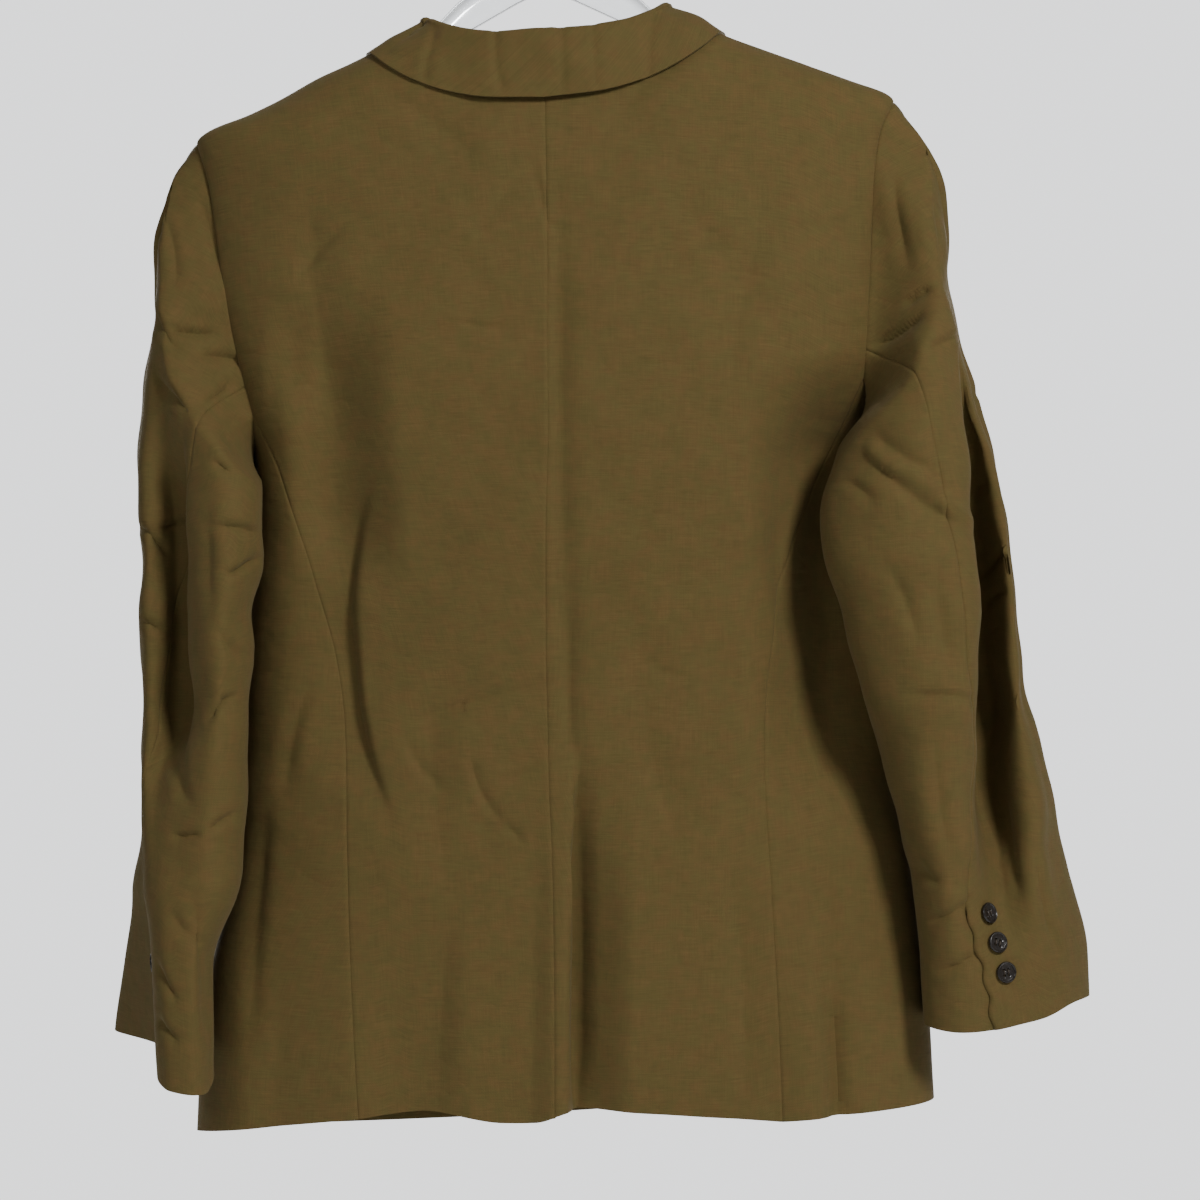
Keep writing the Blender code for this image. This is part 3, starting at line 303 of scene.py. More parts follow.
COLLAR_FOLD = 3.0  # half the thickness of the roll
COLLAR_ROLL = ((-1.0, 4.0), (-0.6, 1.0), (0.6, 1.0), (1.2, 4.0))  # across it, and down
COLLAR_LIFT = 0.9  # its stand, above the neck seam
COLLAR_INSET = 1.0
COLLAR_NICK = {"row": -4.3, "width": 0.22, "depth": 2.4}  # a pinch beside the left arm
COLLAR_WAVES = ((0.7, 1.9, 0.6), (0.5, 3.7, 0.0))  # of the fall: size, rate and start
COLLAR_THICKNESS = 2.3

# Lapel: across from the roll line, upwards from the break
LAPEL = table("up width", (0.0, 7), (0.2, 30), (0.5, 55), (0.8, 70), (1.0, 74))
# Its section from the roll line: a share of the width, and how far it shifts and lifts
LAPEL_SECTION = table(
    "across shift lift",
    (0.0, -2.3, 1.0),
    (0.0, -2.3, 3.2),
    (0.06, 0.5, 5.4),
    (0.3, 0.0, 6.0),
    (0.65, 0.0, 5.4),
    (1.0, 0.0, 4.0),
)
LAPEL_START = 6.0  # below the break
LAPEL_END = 1.5  # below the gorge
LAPEL_TOP_SLANT = 42.0
LAPEL_TOP_RISE = 5.5
LAPEL_TIP_POWER = 6

# Slits of the cuffs. What shifts a slit's edge sideways is in stations of the ring.
VENT_DROP = 733.0
VENT_WIDTH = 0.1  # the share of a piece's width beside the slit that follows it
VENT_LAP = 0.3
VENT_RECESS = 3.8
VENT_SPREAD = {"shift": 0.1, "length": 80.0}
VENT_WAVE = {"length": 21.0, "size": 0.07}  # the right slit's uneven edge

# Creases, each from its first end to its second in the plane of the photo. Bow moves its
# middle sideways, the widths are those on its left and right going from end to end, a
# trough's depth is positive and a ridge's negative, and soft is the share that fades.
CREASE = "x1 drop1 x2 drop2 bow left right depth soft"
BACK_CREASES = table(
    CREASE,
    (-115, 440, -97, 656, 20, 7, 26, 1.5, 0.35),
    (21, 615, 19, 850, 0, 17, 4, 4.6, 0.25),
    (-55, 336, -24, 339, 1, 3, 7, 1.0, 0.3),
    (-55, 336, -86, 350, 2, 6, 7, 0.8, 0.5),
    (2, 573, -86, 594, 3, 4, 8, 1.1, 0.3),
    (-48, 614, -26, 661, 4, 8, 6, 1.1, 0.3),
    (-26, 661, -13, 674, -1, 5, 5, 1.2, 0.3),
    (-24, 632, -2, 620, 2, 4, 6, 0.9, 0.4),
    (-8, 238, -1, 271, -2, 5, 5, 0.9, 0.3),
    (-1, 271, 16, 283, 1, 4, 5, 0.8, 0.3),
    (-46, 285, -10, 240, -3, 6, 8, 0.6, 0.4),
    (12, 228, 14, 520, 2, 5, 12, 0.7, 0.3),
    (17, 520, 19, 630, 1, 4, 9, 0.9, 0.3),
    (186, 778, 191, 880, -2, 4, 16, 2.0, 0.25),
    (182, 700, 186, 780, -2, 8, 16, 1.4, 0.4),
    (10, 763, 236, 768, 1, 7, 7, 0.4, 0.3),
    (35, 628, 104, 632, 0, 6, 6, 0.4, 0.4),
    (150, 460, 158, 560, 2, 7, 12, 1.6, 0.4),
    (116, 160, 40, 215, 6, 12, 18, 1.0, 0.4),
    (-108, 180, -34, 245, -6, 12, 20, 0.8, 0.4),
    (-126, 268, -160, 302, 3, 7, 9, 1.1, 0.4),
    (-150, 230, -128, 420, 8, 26, 18, 1.4, 0.4),
    (-60, 240, -20, 300, 3, 10, 14, 0.5, 0.4),
    (70, 250, 130, 330, -5, 18, 16, 0.8, 0.4),
    (150, 260, 120, 420, 8, 22, 24, 1.1, 0.4),
    (-90, 600, -60, 640, 5, 9, 7, 0.9, 0.4),
    (-70, 560, -60, 700, 6, 24, 30, 1.4, 0.4),
    (60, 520, 92, 700, 8, 30, 26, 1.2, 0.4),
    (64, 560, 100, 575, 3, 6, 8, 0.7, 0.4),
    (-180, 640, -188, 800, 3, 10, 12, 1.6, 0.3),
    (-150, 560, -168, 640, 5, 9, 12, 1.6, 0.4),
    (120, 700, 128, 850, -4, 20, 14, 1.4, 0.3),
    (-60, 720, -66, 840, 3, 16, 22, 1.0, 0.3),
)
FRONT_CREASES = table(
    CREASE,
    (-150, 250, -60, 330, 8, 16, 20, 1.2, 0.4),
    (160, 260, 70, 350, -8, 18, 16, 1.2, 0.4),
    (0, 530, -110, 560, 6, 8, 12, 1.2, 0.4),
    (0, 530, 120, 590, -8, 8, 12, 1.3, 0.4),
    (6, 630, -90, 700, 8, 10, 14, 1.2, 0.4),
    (8, 634, 120, 690, -6, 9, 14, 1.1, 0.4),
    (-120, 480, -130, 760, 8, 24, 28, 2.0, 0.3),
    (130, 500, 140, 780, -10, 26, 24, 2.0, 0.3),
    (-60, 680, -64, 860, 5, 22, 26, 1.8, 0.3),
    (70, 700, 74, 860, -5, 24, 22, 1.6, 0.3),
)
SLEEVE_CREASES = {
    "left": {
        -1: table(
            CREASE,
            (-232, 395, -231, 612, 2, 6, 15, 4.6, 0.25),
            (-256, 313, -228, 345, 4, 5, 9, 2.0, 0.3),
            (-245, 326, -214, 331, 1, 3, 8, 2.4, 0.3),
            (-228, 345, -190, 352, -2, 4, 9, 2.4, 0.3),
            (-256, 352, -224, 384, 3, 6, 9, 2.0, 0.3),
            (-222, 378, -204, 362, 1, 3, 6, 1.2, 0.3),
            (-212, 416, -198, 426, 0, 5, 6, 2.0, 0.5),
            (-264, 452, -246, 474, -1, 5, 5, 2.2, 0.3),
            (-254, 456, -230, 449, 1, 4, 6, 2.0, 0.3),
            (-211, 458, -184, 464, -2, 5, 7, 2.2, 0.3),
            (-205, 490, -183, 478, 2, 6, 5, 2.4, 0.3),
            (-260, 515, -248, 524, 0, 4, 5, 1.8, 0.4),
            (-210, 520, -188, 545, 3, 6, 8, 1.6, 0.4),
            (-196, 566, -216, 582, 1, 5, 6, 2.4, 0.3),
            (-238, 654, -216, 653, 1, 4, 7, 2.0, 0.3),
            (-216, 653, -199, 641, 0, 4, 7, 1.8, 0.3),
            (-247, 733, -232, 760, 1, 5, 6, 1.8, 0.3),
            (-247, 768, -231, 786, 1, 5, 6, 1.8, 0.3),
            (-238, 700, -214, 726, 3, 7, 8, 1.4, 0.4),
            (-224, 690, -218, 790, -3, 10, 8, 1.8, 0.3),
            (-240, 600, -224, 640, 3, 10, 8, 1.8, 0.4),
            (-213, 440, -211, 520, 2, 8, 8, 1.2, 0.4),
            (-228, 240, -212, 300, -3, 9, 8, 1.6, 0.4),
            (-250, 250, -240, 300, -3, 7, 9, 1.4, 0.4),
        ),
        1: table(
            CREASE,
            (-245, 320, -205, 345, 3, 6, 9, 2.0, 0.3),
            (-258, 380, -215, 372, 3, 6, 8, 1.5, 0.3),
            (-255, 470, -205, 500, -4, 6, 9, 2.3, 0.3),
            (-250, 520, -205, 548, 4, 6, 9, 2.0, 0.3),
            (-262, 610, -220, 640, 3, 7, 8, 1.8, 0.3),
            (-270, 700, -225, 690, 3, 7, 9, 1.4, 0.3),
            (-232, 400, -238, 700, 6, 12, 16, 2.2, 0.3),
        ),
    },
    "right": {
        -1: table(
            CREASE,
            (268, 350, 287, 640, -3, 22, 5, 4.0, 0.2),
            (286, 560, 300, 730, 4, 20, 6, 3.4, 0.3),
            (214, 366, 248, 347, 2, 4, 9, 2.4, 0.3),
            (234, 342, 252, 330, 0, 4, 7, 2.0, 0.3),
            (244, 372, 268, 360, 1, 4, 7, 1.4, 0.3),
            (208, 431, 231, 451, 2, 9, 6, -2.0, 0.25),
            (229, 449, 252, 467, -1, 9, 6, -2.0, 0.25),
            (250, 465, 277, 487, 1, 9, 6, -1.8, 0.25),
            (210, 441, 262, 483, 2, 5, 10, 1.8, 0.3),
            (212, 424, 250, 452, 2, 9, 5, 1.2, 0.3),
            (193, 452, 214, 470, -2, 5, 8, 1.6, 0.4),
            (231, 592, 275, 598, -2, 4, 9, 1.8, 0.3),
            (218, 505, 240, 566, -3, 9, 9, 1.6, 0.4),
            (252, 505, 262, 580, 3, 8, 10, 1.2, 0.4),
            (250, 620, 262, 700, 3, 9, 12, 1.5, 0.4),
            (246, 740, 276, 725, 2, 6, 7, 1.8, 0.3),
            (252, 772, 280, 760, 2, 6, 6, 1.8, 0.3),
            (240, 700, 256, 716, 2, 6, 8, 1.4, 0.3),
            (228, 250, 238, 320, 2, 8, 9, 1.6, 0.4),
            (250, 260, 254, 320, -2, 6, 9, 1.4, 0.4),
            (277, 465, 292, 456, 1, 7, 8, 1.0, 0.4),
            (284, 520, 300, 500, 1, 6, 7, 1.8, 0.4),
            (284, 540, 304, 530, -2, 6, 7, 1.4, 0.4),
            (316, 690, 334, 770, 3, 7, 9, 1.6, 0.3),
            (300, 660, 308, 730, 2, 8, 8, 1.8, 0.3),
        ),
        1: table(
            CREASE,
            (250, 330, 210, 350, -3, 6, 9, 2.0, 0.3),
            (290, 400, 230, 412, 4, 6, 9, 1.6, 0.3),
            (300, 470, 225, 500, 4, 6, 9, 2.3, 0.3),
            (304, 520, 235, 552, -4, 6, 9, 2.0, 0.3),
            (330, 620, 250, 650, -3, 7, 9, 1.8, 0.3),
            (345, 720, 280, 735, 3, 7, 9, 1.4, 0.3),
            (262, 400, 300, 700, 6, 14, 16, 2.2, 0.3),
        ),
    },
}
COLLAR_CREASES = table(
    CREASE,
    (-32, 140, -27, 192, 2, 6, 4, 0.9, 0.2),
    (10, 140, 12, 192, -1, 5, 6, 0.9, 0.2),
    (32, 142, 35, 192, 1, 4, 5, 0.7, 0.2),
    (72, 136, 68, 190, 2, 7, 6, 0.9, 0.2),
    (-70, 140, -78, 182, 2, 8, 6, 0.9, 0.2),
    (-55, 150, -95, 168, 2, 6, 6, 0.6, 0.3),
)
CREASE_POINT = 1.35  # how blunt a crease's bottom is: 1 sharp, 2 round
CREASE_LEAD = 0.3  # the part of the fading that lies past the crease's end
CREASE_FACING = (-0.3, 0.25)  # creases of a face fade where the cloth turns away from it
# Small waves of the whole surface: waves per metre across and down, phase, height
RIPPLES = table(
    "across down phase height",
    (9.1, 3.7, 0.4, 0.28),
    (-6.3, 11.9, 2.1, 0.22),
    (17.3, 8.2, 4.4, 0.16),
    (-23.0, 14.6, 1.3, 0.10),
    (4.2, 21.1, 5.2, 0.12),
)
RIPPLE_TURN = 0.7  # how much depth counts beside distance across
SLEEVE_RIPPLES = 2.2  # times those of the body
CUFF_CALM = {"drop": (690.0, 728.0), "share": 0.85}  # pressed flat where the buttons sit
SEAM_DITCH = 0.7  # how far from a seam its edge rolls in
SLEEVE_SEAM = 1.7  # times the depth of the body's seams
BESIDE_SEAM = (0.5, 0.9, 1.5, 2.4)  # distances of the grid's extra rows beside a seam
BESIDE_EDGE = 1.2  # and of the one beside an open edge
EDGE_ROUNDING = 0.35  # of the thickness

# Grids: how long a piece is across and down, and how many grid steps its own step takes
GRIDS = {
    "back": ((200, 1.0), (690, 1.2)),
    "front": ((200, 1.5), (690, 2.0)),
    "side": ((130, 1.0), (470, 1.3)),
    "sleeve_top": ((250, 0.92), (600, 1.0)),
    "sleeve_under": ((130, 0.92), (430, 1.0)),
}
COLLAR_GRID = (560, 48)  # length along it, and columns
LAPEL_GRID = (300, 36)

# Lamps: place and size in metres, and power in watts
LAMPS = {
    "key": ((1.8, -2.5, 1.25), 0.7, 114.0),
    "fill": ((-1.7, -2.6, 0.7), 0.9, 17.0),
    "front key": ((-0.8, 3.0, 0.3), 0.7, 80.0),
    "front fill": ((0.9, 3.0, 0.0), 0.9, 36.0),
}
LAMP_AIM = (0.03, 0.0, -0.5)
ROOM_TURN = {"From Min": 0.75, "From Max": 0.97}  # how far behind the light room begins
EYE = (0.036, -0.518)  # across and up
SENSOR = 36.0
FLOOR = {"half": 3.0, "height": -1.6}


def smooth_through(xs, ys, at):
    """Cubic through the points that never swings past them."""
    at = np.clip(at, xs[0], xs[-1])
    steps = np.diff(xs)
    rises = np.diff(ys) / steps
    slopes = np.zeros(len(ys))
    product = rises[:-1] * rises[1:]
    total = rises[:-1] + rises[1:]
    slopes[1:-1] = np.where(product > 0, 2 * product / np.where(product > 0, total, 1), 0)
    slopes[0], slopes[-1] = rises[0], rises[-1]
    i = np.clip(np.searchsorted(xs, at, side="right") - 1, 0, len(xs) - 2)
    t = (at - xs[i]) / steps[i]
    start = (1 + 2 * t) * (1 - t) ** 2 * ys[i] + t * (1 - t) ** 2 * steps[i] * slopes[i]
    end = t * t * (3 - 2 * t) * ys[i + 1] + t * t * (t - 1) * steps[i] * slopes[i + 1]
    return start + end


def read(rows, column, at, key="drop"):
    return smooth_through(rows[key], rows[column], at)


def ease(value, start, end):
    """0 before the start, 1 past the end, smooth between."""
    t = np.clip((np.asarray(value, float) - start) / (end - start), 0, 1)
    return t * t * (3 - 2 * t)


def along_path(points, share):
    """Points of a polyline at even shares of its length."""
    points = np.array(points, float)
    lengths = np.concatenate([[0], np.cumsum(np.linalg.norm(np.diff(points, axis=0), axis=1))])
    at = np.asarray(share) * lengths[-1]
    return np.stack([np.interp(at, lengths, points[:, k]) for k in range(2)], axis=-1)


# ---- The body's surface ----


def half_width(x, drop):
    return np.where(x < 0, read(BODY, "left", drop), read(BODY, "right", drop))


def side_depth(x, drop):
    return np.where(x < 0, read(BODY, "side_left", drop), read(BODY, "side_right", drop))


def folds_at(x, drop):
    depth = np.zeros(np.broadcast(x, drop).shape)
    for k in range(len(FOLDS["top"])):
        fold = {name: column[k] for name, column in FOLDS.items()}
        t = np.clip((drop - fold["top"]) / (fold["bottom"] - fold["top"]), 0, 1)
        ends = (1 - t) * fold["x_top"] + t * fold["x_bottom"]
        bow = fold["x_middle"] - (fold["x_top"] + fold["x_bottom"]) / 2
        line = ends + bow * 4 * t * (1 - t)
        width = np.where(x < line, fold["width_left"], fold["width_right"])
        across = (1 - np.minimum(1, abs(x - line) / width) ** 2) ** 2
        fade_in = ease(t, 0, fold["fade_in"])
        fade_out = ease(1 - t, 0, fold["fade_out"]) if fold["fade_out"] else 1
        depth = depth + fold["depth"] * across * fade_in * fade_out
    return depth


def back_depth(x, drop):
    """Y of the back's outer surface."""
    width = half_width(x, drop)
    edge = side_depth(x, drop)
    arch = (1 - np.clip(abs(x) / width, 0, 1) ** ROUNDNESS) ** (1 / ROUNDNESS)
    y = edge - (read(BODY, "back", drop) + edge) * arch
    y = y + folds_at(x, drop) * ease(arch, 0, 0.5)
    pressed = ease(x, *PRESS["x"]) * ease(drop, *PRESS["on"]) * (1 - ease(drop, *PRESS["off"]))
    return y + pressed * np.maximum(0, edge - PRESS["slope"] * (width - x) - y)


def front_depth(x, drop):
    """Y of the fronts' outer surface."""
    edge = side_depth(x, drop)
    u = np.clip(abs(x) / half_width(x, drop), 0, 1)
    return edge + (read(BODY, "front", drop) - edge) * (1 - u**ROUNDNESS) ** (1 / ROUNDNESS)


def hem_drop(x, face):
    if face < 0:
        return read(HEM, "drop", x, key="x")
    left, right = HEM["x"][0], HEM["x"][-1]
    level = np.interp(x, (left, right), (HEM["drop"][0], HEM["drop"][-1]))
    middle = 1 - ((x - (left + right) / 2) / ((right - left) / 2)) ** 2
    return level + FRONT_HEM_DIP * np.clip(middle, 0, 1)


def seam_x(name, side, drop):
    column = f"{name}_{'left' if side < 0 else 'right'}"
    return side * smooth_through(SEAMS["drop"][2:], SEAMS[column][2:], drop)


def side_edge(side, name, face, up):
    """(x, drop) at shares of the height of the side seam and the armhole."""
    hem = float(hem_drop(seam_x(name, side, HEM_LEVEL), face))
    low = np.clip(up / SEAM_SHARE, 0, 1)
    high = np.clip((up - SEAM_SHARE) / (1 - SEAM_SHARE), 0, 1)
    drop = hem + (SEAM_TOP_DROP - hem) * low + (SHOULDER_TIP_DROP - SEAM_TOP_DROP) * high
    arm = side * read(ARMHOLE, "left" if side < 0 else "right", drop)
    if name == "front":
        arm = arm - side * ARMHOLE_SCOOP * np.sin(math.pi * high)
    x = np.where(up <= SEAM_SHARE, seam_x(name, side, drop), arm)
    return np.stack([x, drop], axis=-1)


def neck_row(column, row):
    rows = np.arange(len(NECK[column]))
    return smooth_through(rows, NECK[column], row)


def shoulder(side, share):
    """(x, drop) along the shoulder seam, from the neck point to the tip."""
    drops = np.linspace(NECK["seam_drop"][NECK_POINT_ROW], SHOULDER_TIP_DROP, 240)
    x = half_width(side * np.ones_like(drops), drops)
    even = x[0] + (x[-1] - x[0]) * share
    return np.stack([side * even, np.interp(even, x, drops)], axis=-1)


def neck_seam(side, row):
    """(x, drop) of the neck seam, counted in rows of its table."""
    x = neck_row("seam_x", row)
    start = abs(shoulder(side, np.zeros(1))[0, 0])
    near = np.clip(1 - abs(row - NECK_POINT_ROW), 0, 1)
    x = x + near * (start - NECK["seam_x"][NECK_POINT_ROW])
    return np.stack([side * x, neck_row("seam_drop", row)], axis=-1)


def patch(bottom, top, start, end, u, v):
    """(x, drop) between four edges."""
    v, u = v[:, None, None], u[None, :, None]
    sides = (1 - u) * start[:, None] + u * end[:, None]
    levels = (1 - v) * bottom[None] + v * top[None]
    lower = (1 - u) * bottom[0] + u * bottom[-1]
    upper = (1 - u) * top[0] + u * top[-1]
    return np.moveaxis(sides + levels - (1 - v) * lower - v * upper, -1, 0)


def back_surface(side, u, v):
    def centre(up):
        hem = float(hem_drop(SEAMS["centre"][-1], -1))
        drop = hem + (NECK["seam_drop"][0] - hem) * up
        return np.stack([read(SEAMS, "centre", drop), drop], axis=-1)

    def top(share):
        neck = neck_seam(side, np.clip(share / NECK_SHARE, 0, 1) * NECK_POINT_ROW)
        tip = shoulder(side, np.clip((share - NECK_SHARE) / (1 - NECK_SHARE), 0, 1))
        return np.where(share[:, None] <= NECK_SHARE, neck, tip)

    def bottom(share):
        reach = abs(top(share)[:, 0]) / abs(top(np.ones(1))[0, 0])
        share = 0.5 * reach + 0.5 * share
        x0, end = centre(np.zeros(1))[0, 0], side_edge(side, "side", -1, np.zeros(1))[0]
        x = x0 + share * (end[0] - x0)
        return np.stack([x, hem_drop(x, -1)], axis=-1)

    x, drop = between(bottom, top, centre, lambda up: side_edge(side, "side", -1, up), u, v)
    return x, onto_ridge(back_depth(x, drop), -1, u, v, NECK_SHARE), drop


def onto_ridge(y, facing, u, v, neck):
    """Brings the top edge beside the neck in to the shoulder seam, over the hanger."""
    near = ease(u, neck, neck + RIDGE_EASE)[None, :] * (v == v.max())[:, None]
    return y * (1 - near) + near * facing * SEAM_GAP / 2


def between(bottom, top, start, end, u, v):
    """(x, drop) inside four edge functions, at shares that may leave out the exact ends."""
    full_u = np.concatenate([[0.0], u, [1.0]])
    full_v = np.concatenate([[0.0], v, [1.0]])
    edges = bottom(full_u), top(full_u), start(full_v), end(full_v)
    x, drop = patch(*edges, full_u, full_v)
    return x[1:-1, 1:-1], drop[1:-1, 1:-1]


def tuck(x, drop):
    """How far the left front lies under the right one, deeper behind the folded lapel."""
    lapel = ease(-drop, *TUCK["lapel_end"]) * ease(drop, *TUCK["lapel_start"])
    depth = TUCK["depth"] + TUCK["behind_lapel"] * lapel
    return depth * ease(x, *TUCK["x"]) * ease(drop, *TUCK["drop"])


def front_surface(side, u, v):
    edge_x = -side * FRONT_OVERLAP
    hem = (edge_x, float(hem_drop(edge_x, 1)) - FRONT_CORNER["rise"])
    last_row = len(NECK["seam_x"]) - 1

    def edge(up):
        gorge = neck_seam(side, np.array([float(last_row)]))[0]
        opening = along_path([hem, (edge_x, BREAK_DROP)], np.clip(up / OPENING_SHARE, 0, 1))
        on_roll = np.clip((up - OPENING_SHARE) / (GORGE_SHARE - OPENING_SHARE), 0, 1)
        roll = along_path([(edge_x, BREAK_DROP), gorge], on_roll)
        on_neck = np.clip((up - GORGE_SHARE) / (1 - GORGE_SHARE), 0, 1)
        neck = neck_seam(side, last_row + (NECK_POINT_ROW - last_row) * on_neck)
        lower = np.where(up[:, None] <= OPENING_SHARE, opening, roll)
        return np.where(up[:, None] <= GORGE_SHARE, lower, neck)

    def bottom(share):
        end = side_edge(side, "front", 1, np.zeros(1))[0, 0]
        x = edge_x + share * (end - edge_x)
        corner = 1 - np.clip(share / FRONT_CORNER["share"], 0, 1)
        drop = hem_drop(x, 1) - FRONT_CORNER["rise"] * corner
        return np.stack([x, drop], axis=-1)

    def armhole(up):
        return side_edge(side, "front", 1, up)

    x, drop = between(bottom, lambda share: shoulder(side, share), edge, armhole, u, v)
    y = front_depth(x, drop) - (tuck(x, drop) if side < 0 else 0)
    return x, onto_ridge(y, 1, u, v, 0.0), drop


def side_surface(side, u, v):
    """Round the body's edge, from the back's side seam to the front's."""
    back = side_edge(side, "side", -1, v * SEAM_SHARE)
    front = side_edge(side, "front", 1, v * SEAM_SHARE)
    turn = []
    for edge in (back, front):
        share = np.clip(abs(edge[:, 0]) / half_width(edge[:, 0], edge[:, 1]), 0, 1)
        turn.append(np.arccos(share ** (ROUNDNESS / 2)))
    s, up = u[None, :], v[:, None]
    angle = -turn[0][:, None] * (1 - s) + turn[1][:, None] * s
    drop = back[:, 1][:, None] * (1 - s) + front[:, 1][:, None] * s
    drop = drop + (UNDERARM_DROP - SEAM_TOP_DROP) * 4 * s * (1 - s) * ease(up, 0.6, 1)
    x = side * half_width(side * np.ones_like(drop), drop) * np.cos(angle) ** (2 / ROUNDNESS)
    return x, np.where(angle < 0, back_depth(x, drop), front_depth(x, drop)), drop


# ---- The sleeves' surface ----


def ring(side, drop):
    """The ring's points at each drop, out from the centre and in depth."""
    rows = SLEEVES["left" if side < 0 else "right"]
    drops = np.array(sorted(rows), float)
    found = {}
    for k, station in enumerate(STATIONS[:-1]):
        values = np.array([rows[int(d)][k] for d in drops], float)
        found[station] = [smooth_through(drops, values[:, axis], drop) for axis in (0, 1)]
    reach = smooth_through(drops, np.array([rows[int(d)][-1] for d in drops], float), drop)
    out, inner, crown = found["out"], found["inner"], found["crown"]
    body = half_width(np.float64(side), drop)
    front_x = np.maximum(inner[0] + INNER_FRONT["out"], body + INNER_FRONT["off_body"])
    inner_front = [front_x, inner[1] + INNER_FRONT["forward"]]
    inner_back = [a + share * (b - a) for a, b, share in zip(inner, crown, INNER_BACK)]
    front = [front_x + FRONT_MIDDLE * (out[0] - front_x), reach]
    front_out = [front_x + FRONT_OUT[0] * (out[0] - front_x), FRONT_OUT[1] * reach]
    order = [found[name] for name in STATIONS[:6]]
    return np.array(order + [inner_back, inner, inner_front, front, front_out])


def around(points, station):
    """A smooth closed curve through the ring's points: (x, y) arrays."""
    count = len(points)
    i = np.floor(station).astype(int)
    t = station - i
    p = []
    for k in (-1, 0, 1, 2):
        index = np.broadcast_to((i + k) % count, points.shape[2:])
        p.append(np.take_along_axis(points, index[None, None], axis=0)[0])
    bend = t * t * (2 * p[0] - 5 * p[1] + 4 * p[2] - p[3])
    return 0.5 * (2 * p[1] + t * (p[2] - p[0]) + bend + t**3 * (3 * p[1] - p[0] - 3 * p[2] + p[3]))


def ring_station(side, share, on_top, drop):
    """The station at a share of the way from the front seam to the elbow seam."""
    elbow = read(SLEEVE_SEAMS, "elbow_left" if side < 0 else "elbow_right", drop)
    front = read(SLEEVE_SEAMS, "front", drop)
    first = front - RING_STATIONS if on_top else front
    return first + share * (elbow - first)


def outside_body(side, x, y, drop, clearance):
    """X of sleeve points, moved out where they would lie inside the body's flank."""
    name = "left" if side < 0 else "right"
    width, edge = read(BODY, name, drop), read(BODY, f"side_{name}", drop)
    front, back = read(BODY, "front", drop), read(BODY, "back", drop)
    reach = np.where(y > edge, front - edge, back + edge)
    share = np.minimum(1.0, abs(y - edge) / reach)
    outline = width * (1 - share**ROUNDNESS) ** (1 / ROUNDNESS)
    inside = np.maximum(0.0, outline + clearance - abs(x))
    beside = (drop > SEAM_TOP_DROP - OFF_BODY["above"]) & (drop < BREAK_DROP)
    deep = ease(y, edge + OFF_BODY["from"], edge + OFF_BODY["full"])
    return x + side * inside * deep * beside


def armhole_loop(side, turn):
    """Points round the armhole: down the back from the tip, under the arm, up the front."""
    turn = np.asarray(turn, float) % ARMHOLE_TURNS[-1]
    back_foot, front_foot, tip = ARMHOLE_TURNS
    down = side_edge(side, "side", -1, 1 - (1 - SEAM_SHARE) * np.clip(turn / back_foot, 0, 1))
    down_y = back_depth(down[:, 0], down[:, 1])
    down_y = np.where(turn == 0, 0.0, down_y)
    share = np.clip((turn - back_foot) / (front_foot - back_foot), 0, 1)
    under = side_surface(side, share, np.ones(1))
    climb = np.clip((turn - front_foot) / (tip - front_foot), 0, 1)
    up = side_edge(side, "front", 1, SEAM_SHARE + (1 - SEAM_SHARE) * climb)
    up_y = front_depth(up[:, 0], up[:, 1])
    choice = [turn <= back_foot, turn <= front_foot]
    x = np.select(choice, [down[:, 0], under[0][0]], up[:, 0])
    y = np.select(choice, [down_y, under[1][0]], up_y)
    drop = np.select(choice, [down[:, 1], under[2][0]], up[:, 1])
    return x, y, drop


def beside_slit(side, on_top, share, drop):
    """How far the cloth beside the cuff's slit moves along the ring, and into it."""
    beside = np.clip((share - (1 - VENT_WIDTH)) / VENT_WIDTH, 0, 1)
    fallen = drop - VENT_DROP
    if side < 0 and on_top:
        spread = VENT_SPREAD["shift"] * np.clip(fallen / VENT_SPREAD["length"], 0, 1)
        return -spread * beside**2, 0.0
    if side < 0:
        return 0.0, 0.0
    if on_top:
        waves = np.sin(2 * math.pi * fallen / VENT_WAVE["length"])
        return VENT_WAVE["size"] * waves * beside**2 * ease(fallen, 0, 12), 0.0
    return -VENT_LAP * beside**2 * ease(fallen, 4, 10), VENT_RECESS * beside * ease(fallen, -4, 4)


